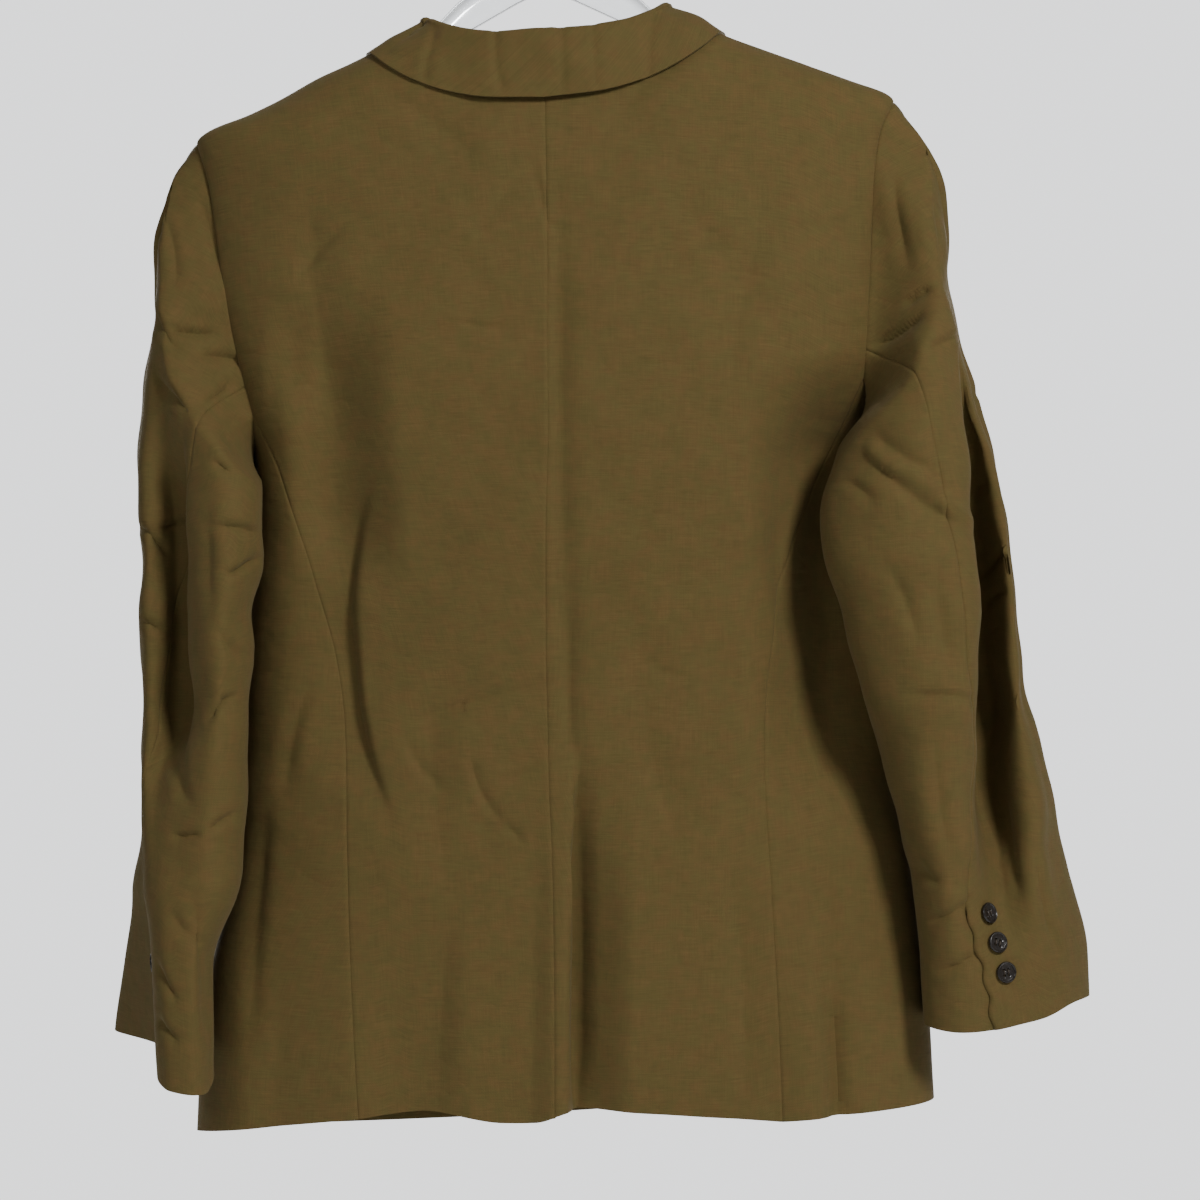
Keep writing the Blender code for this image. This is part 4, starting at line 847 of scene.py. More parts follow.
def sleeve_surface(side, on_top, u, v):
    """A sleeve piece: u from the front seam to the elbow seam, v from armhole to cuff."""
    first, last = TOP_SLEEVE if on_top else UNDER_SLEEVE
    start_x, start_y, start_drop = armhole_loop(side, first + (last - first) * u)
    at_cuff = ring_station(side, u, on_top, np.full(u.shape, CUFF_LEVEL))
    edges = np.array(CUFFS["left" if side < 0 else "right"], float)
    end_drop = around(np.repeat(edges[:, None, None], len(u), axis=2), at_cuff)[0]
    drop = start_drop + (end_drop - start_drop) * v[:, None] ** SLEEVE_ROW_GROWTH
    share = np.broadcast_to(u, drop.shape)
    past, recess = beside_slit(side, on_top, share, drop)
    station = ring_station(side, share, on_top, drop) + past
    points = ring(side, drop)
    target = around(points, station)
    way = around(points, station + 0.05) - around(points, station - 0.05)
    way = way / np.linalg.norm(way, axis=0)
    target = target + recess * np.stack([way[1], -way[0]])
    facing_out = np.cos(2 * math.pi * station / RING_STATIONS)
    reach = CAP_REACH["edge"] + CAP_REACH["sides"] * np.sin(math.pi * (1 + facing_out) / 2)
    fallen = np.maximum(0.0, drop - start_drop)
    own = 1 - (1 - np.minimum(1.0, fallen / reach)) ** 2
    own_depth = own ** (1 + UNDERARM_DELAY * np.maximum(0.0, -facing_out))
    x = start_x + (side * target[0] - start_x) * own
    y = start_y + (target[1] - start_y) * own_depth
    head = np.sin(math.pi * np.minimum(1.0, fallen / CAP_FULLNESS["reach"])) ** 0.8
    x = x + side * CAP_FULLNESS["out"] * head * np.maximum(0.0, facing_out)
    clearance = np.minimum(OFF_BODY["clearance"], OFF_BODY["growth"] * fallen)
    return outside_body(side, x, y, drop, clearance), y, drop


# ---- Collar and lapels ----


def smooth_line(points, count):
    """A smooth curve through a line of points, at that many even steps."""
    points = np.array(points, float)
    steps = np.linalg.norm(np.diff(points, axis=0), axis=-1)
    while steps.ndim > 1:
        steps = steps.mean(axis=-1)
    lengths = np.concatenate([[0], np.cumsum(steps)])
    at = np.linspace(0, lengths[-1], count)
    padded = np.concatenate([2 * points[:1] - points[1:2], points, 2 * points[-1:] - points[-2:-1]])
    i = np.clip(np.searchsorted(lengths, at, side="right") - 1, 0, len(points) - 2)
    t = ((at - lengths[i]) / (lengths[i + 1] - lengths[i])).reshape(-1, *[1] * (points.ndim - 1))
    a, b, c, d = (padded[i + k] for k in range(4))
    bend = t * t * (2 * a - 5 * b + 4 * c - d)
    return 0.5 * (2 * b + t * (c - a) + bend + t**3 * (3 * b - a - 3 * c + d))


def collar_surface(rows, columns):
    """Middle of the collar: rows from the left gorge to the right, columns seam to edge."""
    last = len(NECK["seam_x"]) - 1
    spines = []
    for at in np.linspace(-last, last, rows):
        side, row = (-1 if at < 0 else 1), np.array([abs(at)])
        n = {name: float(neck_row(name, row)[0]) for name in NECK}
        x, drop = neck_seam(side, row)[0]
        facing = back_depth if row[0] < NECK_POINT_ROW else front_depth
        y = float(facing(x, drop))
        inset = COLLAR_INSET * min(1.0, abs(row[0] - NECK_POINT_ROW))
        seam = np.array([x, y - math.copysign(inset, y), COLLAR_LIFT - drop])
        from_nick = (at - COLLAR_NICK["row"]) / COLLAR_NICK["width"]
        nick = COLLAR_NICK["depth"] * math.exp(-(from_nick**2))
        fold = np.array([side * n["fold_x"], n["fold_y"], -n["fold_drop"] - nick])
        edge = np.array([side * n["edge_x"], n["edge_y"], -n["edge_drop"]])
        away = (edge - seam) * np.array([1, 1, 0])
        away = away / np.linalg.norm(away)
        spine = [seam, 0.5 * (seam + fold) - away]
        for out, down in COLLAR_ROLL:
            spine.append(fold + away * COLLAR_FOLD * out - np.array([0, 0, down]))
        wave = sum(size * math.sin(at * rate + start) for size, rate, start in COLLAR_WAVES)
        spine.append(0.5 * (fold + edge) + away * (2.6 + wave))
        spine.append(0.22 * fold + 0.78 * edge + away * (1.4 + 0.6 * wave))
        spine.append(edge)
        spines.append(smooth_line(spine, columns))
    points = np.array(spines)
    return points[..., 0], points[..., 1], -points[..., 2]


def lapel_surface(side, rows, columns):
    """The turned-back facing: rows up from the break, columns from the roll to the edge."""
    start = np.array([-side * FRONT_OVERLAP, BREAK_DROP + LAPEL_START])
    end = np.array([side * NECK["seam_x"][-1], NECK["seam_drop"][-1] + LAPEL_END])
    up = np.linspace(0, 1, rows)[:, None]
    section = {name: column[None, :] for name, column in LAPEL_SECTION.items()}
    across = section["across"]
    width = smooth_through(LAPEL["up"], LAPEL["width"], up)
    root_x, root_drop = (start[k] * (1 - up) + end[k] * up for k in range(2))
    tip = up**LAPEL_TIP_POWER
    rise = LAPEL_TOP_RISE * ease(across, 0, section["across"][0, 2]) * tip
    drop = root_drop + across * LAPEL_TOP_SLANT * tip - rise
    base_x = root_x + side * across * width
    y = front_depth(base_x, drop) - (tuck(base_x, drop) if side < 0 else 0) + section["lift"]
    x = base_x + side * section["shift"]
    points = np.moveaxis(np.stack([x, y, drop], axis=-1), 1, 0)
    points = smooth_line(points, columns)
    return tuple(np.moveaxis(points, 0, 1)[..., k] for k in range(3))


# ---- Cloth pieces ----


def shares(length, step, first_seam=True, last_seam=True):
    """Shares from 0 to 1, closer beside a seam, where they also leave out half its gap."""
    count = max(4, round(length / step))
    even = np.linspace(0, 1, count + 1)[1:-1]
    beside = np.array([SEAM_GAP / 2, *BESIDE_SEAM]) / length
    open_edge = np.array([0.0, BESIDE_EDGE / length])
    low = beside if first_seam else open_edge
    high = 1 - (beside if last_seam else open_edge)[::-1]
    even = even[(even > low[-1] + 1 / length) & (even < high[0] - 1 / length)]
    return np.concatenate([low, even, high])


def unit_normals(points):
    across, down = np.gradient(points, axis=1), np.gradient(points, axis=0)
    normal = np.cross(across, down)
    return normal / np.maximum(np.linalg.norm(normal, axis=-1, keepdims=True), 1e-12)


def crease_depth(rows, x, drop):
    """How deep the creases of a table lie at each point."""
    depth = np.zeros(x.shape)
    for k in range(len(rows["x1"])):
        c = {name: column[k] for name, column in rows.items()}
        run = np.array([c["x2"] - c["x1"], c["drop2"] - c["drop1"]])
        length = math.hypot(*run)
        run = run / length
        dx, dd = x - c["x1"], drop - c["drop1"]
        t = (dx * run[0] + dd * run[1]) / length
        bow = c["bow"] * 4 * np.clip(t, 0, 1) * (1 - np.clip(t, 0, 1))
        beside = -dx * run[1] + dd * run[0] - bow
        width = np.where(beside < 0, c["left"], c["right"])
        across = (1 - np.minimum(1, abs(beside) / width) ** CREASE_POINT) ** 2
        fading = -c["soft"] * CREASE_LEAD, c["soft"]
        depth = depth + c["depth"] * across * (ease(t, *fading) * ease(1 - t, *fading))
    return depth


def ripples(x, y, drop):
    height = np.zeros(x.shape)
    for across, down, phase, high in zip(*RIPPLES.values()):
        waves = (across * (x + RIPPLE_TURN * y) + down * drop) * MM
        height += high * np.sin(2 * math.pi * waves + phase)
    return height


def to_metres(x, y, drop):
    return np.stack([x, y, LEAN * x - drop], axis=-1) * MM


def creased(surface, tables, strength, inside, rough=1.0):
    """Points in metres with their creases, and 1 or -1 for normals that leave the inside."""
    points = to_metres(*surface)
    normals = unit_normals(points)
    turn = 1 if np.sum(normals * (points - inside)) > 0 else -1
    normals = normals * turn
    x, y, drop = surface
    calm = 1 - CUFF_CALM["share"] * ease(drop, *CUFF_CALM["drop"])
    depth = -rough * calm * ripples(x, y, drop)
    for face, rows in tables.items():
        depth = depth + crease_depth(rows, x, drop) * ease(face * normals[..., 1], *CREASE_FACING)
    return points - normals * (depth * strength * MM)[..., None], turn


def cloth_coordinates(points):
    """Distances in metres along the cloth, across and down, from its middle."""
    across = np.linalg.norm(np.diff(points, axis=1), axis=-1)
    across = np.concatenate([np.zeros((len(points), 1)), np.cumsum(across, axis=1)], axis=1)
    down = np.linalg.norm(np.diff(points, axis=0), axis=-1)
    down = np.concatenate([np.zeros((1, points.shape[1])), np.cumsum(down, axis=0)])
    row, column = points.shape[0] // 2, points.shape[1] // 2
    warp = slice(column, column + 1)
    across = across - across[:, warp] + points[:, warp, 0]
    down = down - down[row] - points[row, :, 2]
    return np.stack([across, -down], axis=-1)


def lay_grid(name, points, turn):
    """A grid mesh with its vertices laid on the points, and its cloth coordinates."""
    rows, columns = points.shape[:2]
    bm = bmesh.new()
    bmesh.ops.create_grid(bm, x_segments=columns - 1, y_segments=rows - 1, size=0.5)
    places = cloth_coordinates(points)
    layer = bm.loops.layers.uv.new("cloth")
    index = {}
    for vert in bm.verts:
        j = round((vert.co.x + 0.5) * (columns - 1))
        i = round((vert.co.y + 0.5) * (rows - 1))
        index[vert] = (i, j)
        vert.co = points[i, j]
    for face in bm.faces:
        for loop in face.loops:
            loop[layer].uv = places[index[loop.vert]]
    if turn > 0:
        bmesh.ops.reverse_faces(bm, faces=bm.faces)
    mesh = bpy.data.meshes.new(name)
    bm.to_mesh(mesh)
    bm.free()
    mesh.shade_smooth()
    obj = bpy.data.objects.new(name, mesh)
    bpy.context.scene.collection.objects.link(obj)
    return obj


def give_thickness(obj, thickness, offset):
    shell = obj.modifiers.new("Thickness", "SOLIDIFY")
    shell.thickness = thickness
    shell.offset = offset
    shell.use_even_offset = False
    edge = obj.modifiers.new("Edge", "BEVEL")
    edge.width = EDGE_ROUNDING * thickness
    edge.segments = 2
    edge.limit_method = "ANGLE"
    edge.angle_limit = math.radians(60)


def sink_seams(points, normals, edges, depth):
    """Rolls the named edges in, so that a seam lies in a fine ditch."""
    far = np.full(points.shape[:2], np.inf)
    lines = {"left": points[:, :1], "right": points[:, -1:], "top": points[:1]}
    for edge in edges:
        far = np.minimum(far, np.linalg.norm(points - lines[edge], axis=-1))
    sunk = depth * np.exp(-((far / (SEAM_DITCH * MM)) ** 2))
    return points - normals * sunk[..., None]


def sheet_piece(name, surface, tables, settings, seams, inside, offset=-1.0):
    """A cloth piece that replaces its solid."""
    sleeve = name.startswith("sleeve")
    rough = SLEEVE_RIPPLES if sleeve else 1.0
    points, turn = creased(surface, tables, settings.creases, inside, rough)
    normals = unit_normals(points) * turn
    sunk = settings.seam_depth * (SLEEVE_SEAM if sleeve else 1.0)
    points = sink_seams(points, normals, seams, sunk)
    obj = lay_grid(f"{name}_cloth", points, turn)
    give_thickness(obj, settings.thickness, offset)
    obj.data.materials.append(cloth_material(settings))
    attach(obj, "root")
    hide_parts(name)
    return obj


# ---- Materials ----


def socket(group, name, kind, in_out, default=None):
    made = group.interface.new_socket(name=name, in_out=in_out, socket_type=kind)
    if default is not None:
        made.default_value = default
    return made


def node(tree, kind, values=None, **attributes):
    made = tree.nodes.new(kind)
    for name, value in attributes.items():
        setattr(made, name, value)
    for name, value in (values or {}).items():
        made.inputs[name].default_value = value
    return made


def math_node(tree, operation, first, second=None):
    made = node(tree, "ShaderNodeMath", operation=operation)
    for k, value in enumerate((first, second)):
        if value is None:
            continue
        if isinstance(value, (int, float)):
            made.inputs[k].default_value = value
        else:
            tree.links.new(value, made.inputs[k])
    return made.outputs[0]


def graded(tree, value, start, change):
    """The start plus the change times a value."""
    return math_node(tree, "ADD", start, math_node(tree, "MULTIPLY", value, change))


def own_place(tree):
    """A point's place in its object."""
    return node(tree, "ShaderNodeTexCoord").outputs["Object"]


def noise(tree, vector, scale, detail=2.0, roughness=0.5):
    made = node(tree, "ShaderNodeTexNoise", {"Scale": scale, "Detail": detail, "Roughness": roughness})
    tree.links.new(vector, made.inputs["Vector"])
    return made.outputs["Fac"]


def stretched(tree, vector, scale):
    made = node(tree, "ShaderNodeMapping", {"Scale": scale})
    tree.links.new(vector, made.inputs["Vector"])
    return made.outputs[0]


def weave_group():
    """Plain weave with uneven threads: a height, and a shade round 1."""
    if "Woven threads" in bpy.data.node_groups:
        return bpy.data.node_groups["Woven threads"]
    group = bpy.data.node_groups.new("Woven threads", "ShaderNodeTree")
    socket(group, "Cloth coordinates", "NodeSocketVector", "INPUT")
    socket(group, "Threads per metre", "NodeSocketFloat", "INPUT", 1800.0)
    socket(group, "Slub", "NodeSocketFloat", "INPUT", 0.1)
    socket(group, "Height", "NodeSocketFloat", "OUTPUT")
    socket(group, "Shade", "NodeSocketFloat", "OUTPUT")
    start, end = node(group, "NodeGroupInput"), node(group, "NodeGroupOutput")
    vector, count, slub = (start.outputs[k] for k in range(3))
    split = node(group, "ShaderNodeSeparateXYZ")
    group.links.new(vector, split.inputs[0])
    waves = []
    for axis in (0, 1):
        turns = math_node(group, "MULTIPLY", split.outputs[axis], count)
        waves.append(math_node(group, "SINE", math_node(group, "MULTIPLY", turns, math.pi)))
    over = math_node(group, "MULTIPLY", waves[0], waves[1])
    weft = noise(group, stretched(group, vector, (60.0, 1500.0, 1.0)), 1.0, 3.0)
    warp = noise(group, stretched(group, vector, (1300.0, 45.0, 1.0)), 1.0, 3.0)
    uneven = math_node(group, "ADD", weft, math_node(group, "MULTIPLY", warp, 0.6))
    uneven = math_node(group, "SUBTRACT", uneven, 0.8)
    height = math_node(group, "ADD", math_node(group, "MULTIPLY", over, 0.5), uneven)
    group.links.new(height, end.inputs["Height"])
    shade = graded(group, uneven, 1.0, slub)
    group.links.new(shade, end.inputs["Shade"])
    return group


def crinkle_group():
    """Small uneven wrinkles, longer across than down: a height."""
    if "Small wrinkles" in bpy.data.node_groups:
        return bpy.data.node_groups["Small wrinkles"]
    group = bpy.data.node_groups.new("Small wrinkles", "ShaderNodeTree")
    socket(group, "Place", "NodeSocketVector", "INPUT")
    socket(group, "Height", "NodeSocketFloat", "OUTPUT")
    start, end = node(group, "NodeGroupInput"), node(group, "NodeGroupOutput")
    folds = []
    for scale, weight in (((16.0, 16.0, 34.0), 1.0), ((48.0, 48.0, 70.0), 0.4)):
        found = noise(group, stretched(group, start.outputs[0], scale), 1.0, 2.0)
        bent = math_node(group, "ABSOLUTE", math_node(group, "SUBTRACT", found, 0.5))
        folds.append(math_node(group, "MULTIPLY", bent, weight))
    group.links.new(math_node(group, "ADD", *folds), end.inputs[0])
    return group


def wear_group():
    """Broad and middling unevenness of dye and nap: a shade round 1."""
    if "Uneven dye" in bpy.data.node_groups:
        return bpy.data.node_groups["Uneven dye"]
    group = bpy.data.node_groups.new("Uneven dye", "ShaderNodeTree")
    socket(group, "Place", "NodeSocketVector", "INPUT")
    socket(group, "Broad", "NodeSocketFloat", "INPUT", 0.1)
    socket(group, "Fine", "NodeSocketFloat", "INPUT", 0.1)
    socket(group, "Shade", "NodeSocketFloat", "OUTPUT")
    start, end = node(group, "NodeGroupInput"), node(group, "NodeGroupOutput")
    broad = math_node(group, "SUBTRACT", noise(group, start.outputs[0], 9.0, 3.0), 0.5)
    fine = math_node(group, "SUBTRACT", noise(group, start.outputs[0], 140.0, 3.0, 0.7), 0.5)
    total = math_node(
        group,
        "ADD",
        math_node(group, "MULTIPLY", broad, start.outputs[1]),
        math_node(group, "MULTIPLY", fine, start.outputs[2]),
    )
    group.links.new(math_node(group, "ADD", 1.0, total), end.inputs[0])
    return group


def new_material(name):
    material = bpy.data.materials.new(name)
    material.use_nodes = True
    return material, material.node_tree, material.node_tree.nodes["Principled BSDF"]


def tinted(tree, colour, shades):
    """The colour times each shade."""
    factor = shades[0]
    for shade in shades[1:]:
        factor = math_node(tree, "MULTIPLY", factor, shade)
    scale = node(tree, "ShaderNodeVectorMath", operation="SCALE")
    scale.inputs[0].default_value = colour[:3]
    tree.links.new(factor, scale.inputs["Scale"])
    return scale.outputs[0]


def cloth_material(settings):
    if "brown wool" in bpy.data.materials:
        return bpy.data.materials["brown wool"]
    material, tree, shader = new_material("brown wool")
    place = node(tree, "ShaderNodeUVMap", uv_map="cloth")
    weave = node(tree, "ShaderNodeGroup", node_tree=weave_group())
    weave.inputs["Threads per metre"].default_value = settings.threads
    weave.inputs["Slub"].default_value = settings.slub
    tree.links.new(place.outputs[0], weave.inputs[0])
    dye = node(tree, "ShaderNodeGroup", node_tree=wear_group())
    dye.inputs["Broad"].default_value = settings.broad_dye
    dye.inputs["Fine"].default_value = settings.fine_dye
    spot = own_place(tree)
    tree.links.new(spot, dye.inputs[0])
    shades = (weave.outputs["Shade"], dye.outputs["Shade"])
    mottle = node(tree, "ShaderNodeMapRange", {"From Min": 0.38, "From Max": 0.66})
    tree.links.new(noise(tree, spot, 95.0, 3.0, 0.6), mottle.inputs["Value"])
    hue = node(tree, "ShaderNodeMix", data_type="RGBA")
    tree.links.new(mottle.outputs[0], hue.inputs[0])
    tree.links.new(tinted(tree, settings.colour, shades), hue.inputs[6])
    tree.links.new(tinted(tree, settings.red_fibre, shades), hue.inputs[7])
    tree.links.new(hue.outputs[2], shader.inputs["Base Color"])
    wrinkles = node(tree, "ShaderNodeGroup", node_tree=crinkle_group())
    tree.links.new(spot, wrinkles.inputs[0])
    soft = node(tree, "ShaderNodeBump", {"Strength": settings.crinkle, "Distance": 0.004})
    tree.links.new(wrinkles.outputs[0], soft.inputs["Height"])
    bump = node(tree, "ShaderNodeBump", {"Strength": settings.relief, "Distance": 0.0002})
    tree.links.new(weave.outputs["Height"], bump.inputs["Height"])
    tree.links.new(soft.outputs[0], bump.inputs["Normal"])
    tree.links.new(bump.outputs[0], shader.inputs["Normal"])
    shader.inputs["Roughness"].default_value = 0.85
    shader.inputs["Specular IOR Level"].default_value = 0.18
    shader.inputs["Sheen Weight"].default_value = settings.nap
    shader.inputs["Sheen Roughness"].default_value = 0.55
    shader.inputs["Sheen Tint"].default_value = (0.85, 0.72, 0.45, 1.0)
    return material


def button_material(settings):
    if "dark horn" in bpy.data.materials:
        return bpy.data.materials["dark horn"]
    material, tree, shader = new_material("dark horn")
    place = own_place(tree)
    streaks = noise(tree, stretched(tree, place, (260.0, 260.0, 90.0)), 1.0, 4.0, 0.6)
    shade = graded(tree, streaks, 0.35, 1.6)
    tree.links.new(tinted(tree, settings.colour, [shade]), shader.inputs["Base Color"])
    rough = graded(tree, streaks, 0.2, 0.16)
    tree.links.new(rough, shader.inputs["Roughness"])
    shader.inputs["Specular IOR Level"].default_value = 0.4
    shader.inputs["Coat Weight"].default_value = 0.2
    shader.inputs["Coat Roughness"].default_value = 0.08
    return material


def thread_material(settings):
    if "sewing thread" in bpy.data.materials:
        return bpy.data.materials["sewing thread"]
    material, tree, shader = new_material("sewing thread")
    place = own_place(tree)
    twist = noise(tree, place, 2200.0, 2.0)
    shade = graded(tree, twist, 0.6, 0.8)
    tree.links.new(tinted(tree, settings.thread_colour, [shade]), shader.inputs["Base Color"])
    shader.inputs["Roughness"].default_value = 0.7
    return material


def plastic_material(settings):
    if "clear plastic" in bpy.data.materials:
        return bpy.data.materials["clear plastic"]
    material, tree, shader = new_material("clear plastic")
    place = own_place(tree)
    haze = noise(tree, place, 90.0, 3.0)
    rough = graded(tree, haze, 0.03, 0.12)
    tree.links.new(rough, shader.inputs["Roughness"])
    shade = graded(tree, haze, 0.96, 0.06)
    tree.links.new(tinted(tree, settings.plastic, [shade]), shader.inputs["Base Color"])
    shader.inputs["Transmission Weight"].default_value = 1.0
    shader.inputs["IOR"].default_value = 1.49
    return material


def steel_material(settings):
    if "polished steel" in bpy.data.materials:
        return bpy.data.materials["polished steel"]
    material, tree, shader = new_material("polished steel")
    place = own_place(tree)
    drawn = noise(tree, stretched(tree, place, (900.0, 900.0, 120.0)), 1.0, 3.0)
    rough = graded(tree, drawn, 0.14, 0.16)
    tree.links.new(rough, shader.inputs["Roughness"])
    shade = graded(tree, drawn, 0.92, 0.12)
    tree.links.new(tinted(tree, settings.steel, [shade]), shader.inputs["Base Color"])
    shader.inputs["Metallic"].default_value = 1.0
    return material


def floor_material(settings):
    material, tree, shader = new_material("pale floor")
    place = own_place(tree)
    shade = graded(tree, noise(tree, place, 3.0), 0.97, 0.06)
    tree.links.new(tinted(tree, settings.floor, [shade]), shader.inputs["Base Color"])
    shader.inputs["Roughness"].default_value = 0.7
    return material


# ---- Buttons ----


def linked(name, bm, material):
    mesh = bpy.data.meshes.new(name)
    bm.to_mesh(mesh)
    bm.free()
    mesh.shade_smooth()
    mesh.set_sharp_from_angle(angle=math.radians(38))
    mesh.materials.append(material)
    obj = bpy.data.objects.new(name, mesh)
    bpy.context.scene.collection.objects.link(obj)
    return obj


def turned(profile, steps):
    bm = bmesh.new()
    verts = [bm.verts.new((r * MM, 0, z * MM)) for r, z in profile]
    edges = [bm.edges.new(pair) for pair in zip(verts, verts[1:])]
    turn = {"axis": (0, 0, 1), "cent": (0, 0, 0), "angle": 2 * math.pi}
    bmesh.ops.spin(bm, geom=verts + edges, steps=steps, use_merge=True, **turn)
    bmesh.ops.remove_doubles(bm, verts=bm.verts, dist=1e-6)
    bmesh.ops.recalc_face_normals(bm, faces=bm.faces)
    return bm


def applied(obj):
    """Replaces an object's mesh by its evaluated one, without modifiers."""
    graph = bpy.context.evaluated_depsgraph_get()
    mesh = bpy.data.meshes.new_from_object(obj.evaluated_get(graph))
    obj.modifiers.clear()
    obj.data = mesh
    return obj


def tube(path, radius, sides=8):
    """A round tube along a short path, closed at its ends."""
    bm = bmesh.new()
    ends = []
    path = [Vector(p) for p in path]
    for k, at in enumerate(path):
        way = (path[min(k + 1, len(path) - 1)] - path[max(k - 1, 0)]).normalized()
        turn = way.to_track_quat("Z", "Y").to_matrix().to_4x4()
        place = Matrix.Translation(at) @ turn
        made = bmesh.ops.create_circle(bm, segments=sides, radius=radius, matrix=place)
        ends.append(made["verts"])
    bmesh.ops.bridge_loops(bm, edges=bm.edges[:])
    for verts in (ends[0], ends[-1]):
        bmesh.ops.contextual_create(bm, geom=verts)
    bmesh.ops.recalc_face_normals(bm, faces=bm.faces)
    return bm


def button_profile(size):
    """(radius, height) from the middle of the dished face, over the rim, to the foot."""
    radius, thick, rim = size["radius"], size["thick"], size["rim"]
    return [
        (0, thick * 0.56),
        (radius * 0.35, thick * 0.56),
        (radius * 0.62, thick * 0.62),
        (radius - rim - 0.3, thick * 0.66),
        (radius - rim - 0.1, thick * 0.68),
        (radius - rim * 0.85, thick * 0.93),
        (radius - rim * 0.6, thick),
        (radius - rim * 0.35, thick * 0.97),
        (radius - 0.15, thick * 0.78),
        (radius, thick * 0.55),
        (radius - 0.3, thick * 0.25),
        (radius - 1.2, 0),
        (0, 0),
    ]


def add_peg(bm, foot, top, depth, at, segments):
    """A round peg round the Z axis, its middle at a point, all in millimetres."""
    bmesh.ops.create_cone(
        bm,
        cap_ends=True,
        segments=segments,
        radius1=foot * MM,
        radius2=top * MM,
        depth=depth * MM,
        matrix=Matrix.Translation(Vector(at) * MM),
    )


def drilled(obj, size):
    """Cuts the four holes of a button."""
    hole, spread = HOLES["radius"] * size["radius"], HOLES["spread"] * size["radius"]
    drill = bmesh.new()
    for x, y in ((1, 1), (1, -1), (-1, 1), (-1, -1)):
        at = (x * spread, y * spread, size["thick"] * 0.5)
        add_peg(drill, hole, hole, size["thick"] * 2, at, 16)
    cutter = linked(f"{obj.name}_drill", drill, obj.data.materials[0])
    cut = obj.modifiers.new("Holes", "BOOLEAN")
    cut.object = cutter
    cut.solver = "EXACT"
    applied(obj)
    bpy.data.objects.remove(cutter)


def button_threads(size):
    """Two strands through the holes, and the shank below."""
    hole, spread = HOLES["radius"] * size["radius"], HOLES["spread"] * size["radius"]
    threads = bmesh.new()
    for x in (-1, 1):
        path = []
        for k in range(THREAD_POINTS + 1):
            t = k / THREAD_POINTS
            lift = size["thick"] * (0.3 + 0.36 * math.sin(math.pi * t) ** 0.5)
            path.append((x * spread * MM, (2 * t - 1) * spread * MM, lift * MM))
        strand = tube(path, hole * 0.5 * MM)
        part = bpy.data.meshes.new("strand")
        strand.to_mesh(part)
        strand.free()
        threads.from_mesh(part)
        bpy.data.meshes.remove(part)
    depth = BUTTON_SHANK + SHANK["into_button"]
    at = (0, 0, (SHANK["into_button"] - BUTTON_SHANK) / 2)
    add_peg(threads, SHANK["foot"], SHANK["top"], depth, at, 12)
    return threads


def make_button(name, size, place, settings):
    """A rimmed button with four holes and its thread."""
    obj = linked(f"{name}_body", turned(button_profile(size), 48), button_material(settings))
    drilled(obj, size)
    thread = linked(f"{name}_thread", button_threads(size), thread_material(settings))
    for piece in (obj, thread):
        piece.data.transform(place)
        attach(piece, "root")
    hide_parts(name)


def seat_on(surface, u, v):
    """A point of a surface and its unit normal, by small steps each way."""
    step = 0.5
    steps = ((u + step, v), (u - step, v), (u, v + step), (u, v - step))
    ahead, behind, over, under = (surface(*at) for at in steps)
    normal = np.cross(ahead - behind, over - under)
    return surface(u, v), normal / np.linalg.norm(normal)


def sleeve_spot(side, station, drop):
    """The sleeve's point at a station of its ring."""
    at = np.array([[float(drop)]])
    x, y = around(ring(side, at), np.array([[station]]))[:, 0, 0]
    return np.array([side * x, y, LEAN * side * x - drop])


def seated(point, normal, spin):
    """Where a button goes: over a point of the cloth, along its normal, spun in degrees."""
    seat = Vector((point + normal * (BUTTON_SHANK + SEAM_GAP + BUTTON_CLEARANCE)) * MM)
    facing = Vector(normal).to_track_quat("Z", "Y").to_matrix().to_4x4()
    return Matrix.Translation(seat) @ facing @ Matrix.Rotation(math.radians(spin), 4, "Z")


# ---- Hanger ----


def hanger_outline():
    """(x, drop) round the flat body, from the boss down the right arm and back."""
    top = [(BOSS_HALF, BOSS_DROP), *HANGER_NECK]
    ridge_x = np.array([*HANGER_ON_SHOULDER, HANGER_TIP - HANGER_END["in"]])
    drops = np.linspace(BODY["drop"][0], SHOULDER_TIP_DROP, 80)
    ridge = np.interp(ridge_x, half_width(np.ones_like(drops), drops), drops)
    top += [(x, d + HANGER_SEAT) for x, d in zip(ridge_x, ridge)]
    tip_drop = top[-1][1] + HANGER_END["down"]
    corner_in, corner_down = HANGER_END["corner"]
    right = top + [(HANGER_TIP, tip_drop), (HANGER_TIP - corner_in, tip_drop + corner_down)]
    right += [(HANGER_ON_SHOULDER[-1], top[-2][1] + HANGER_ARM), *HANGER_BELOW]
    left = [(-x, d) for x, d in right[-2::-1]]
    return right + left


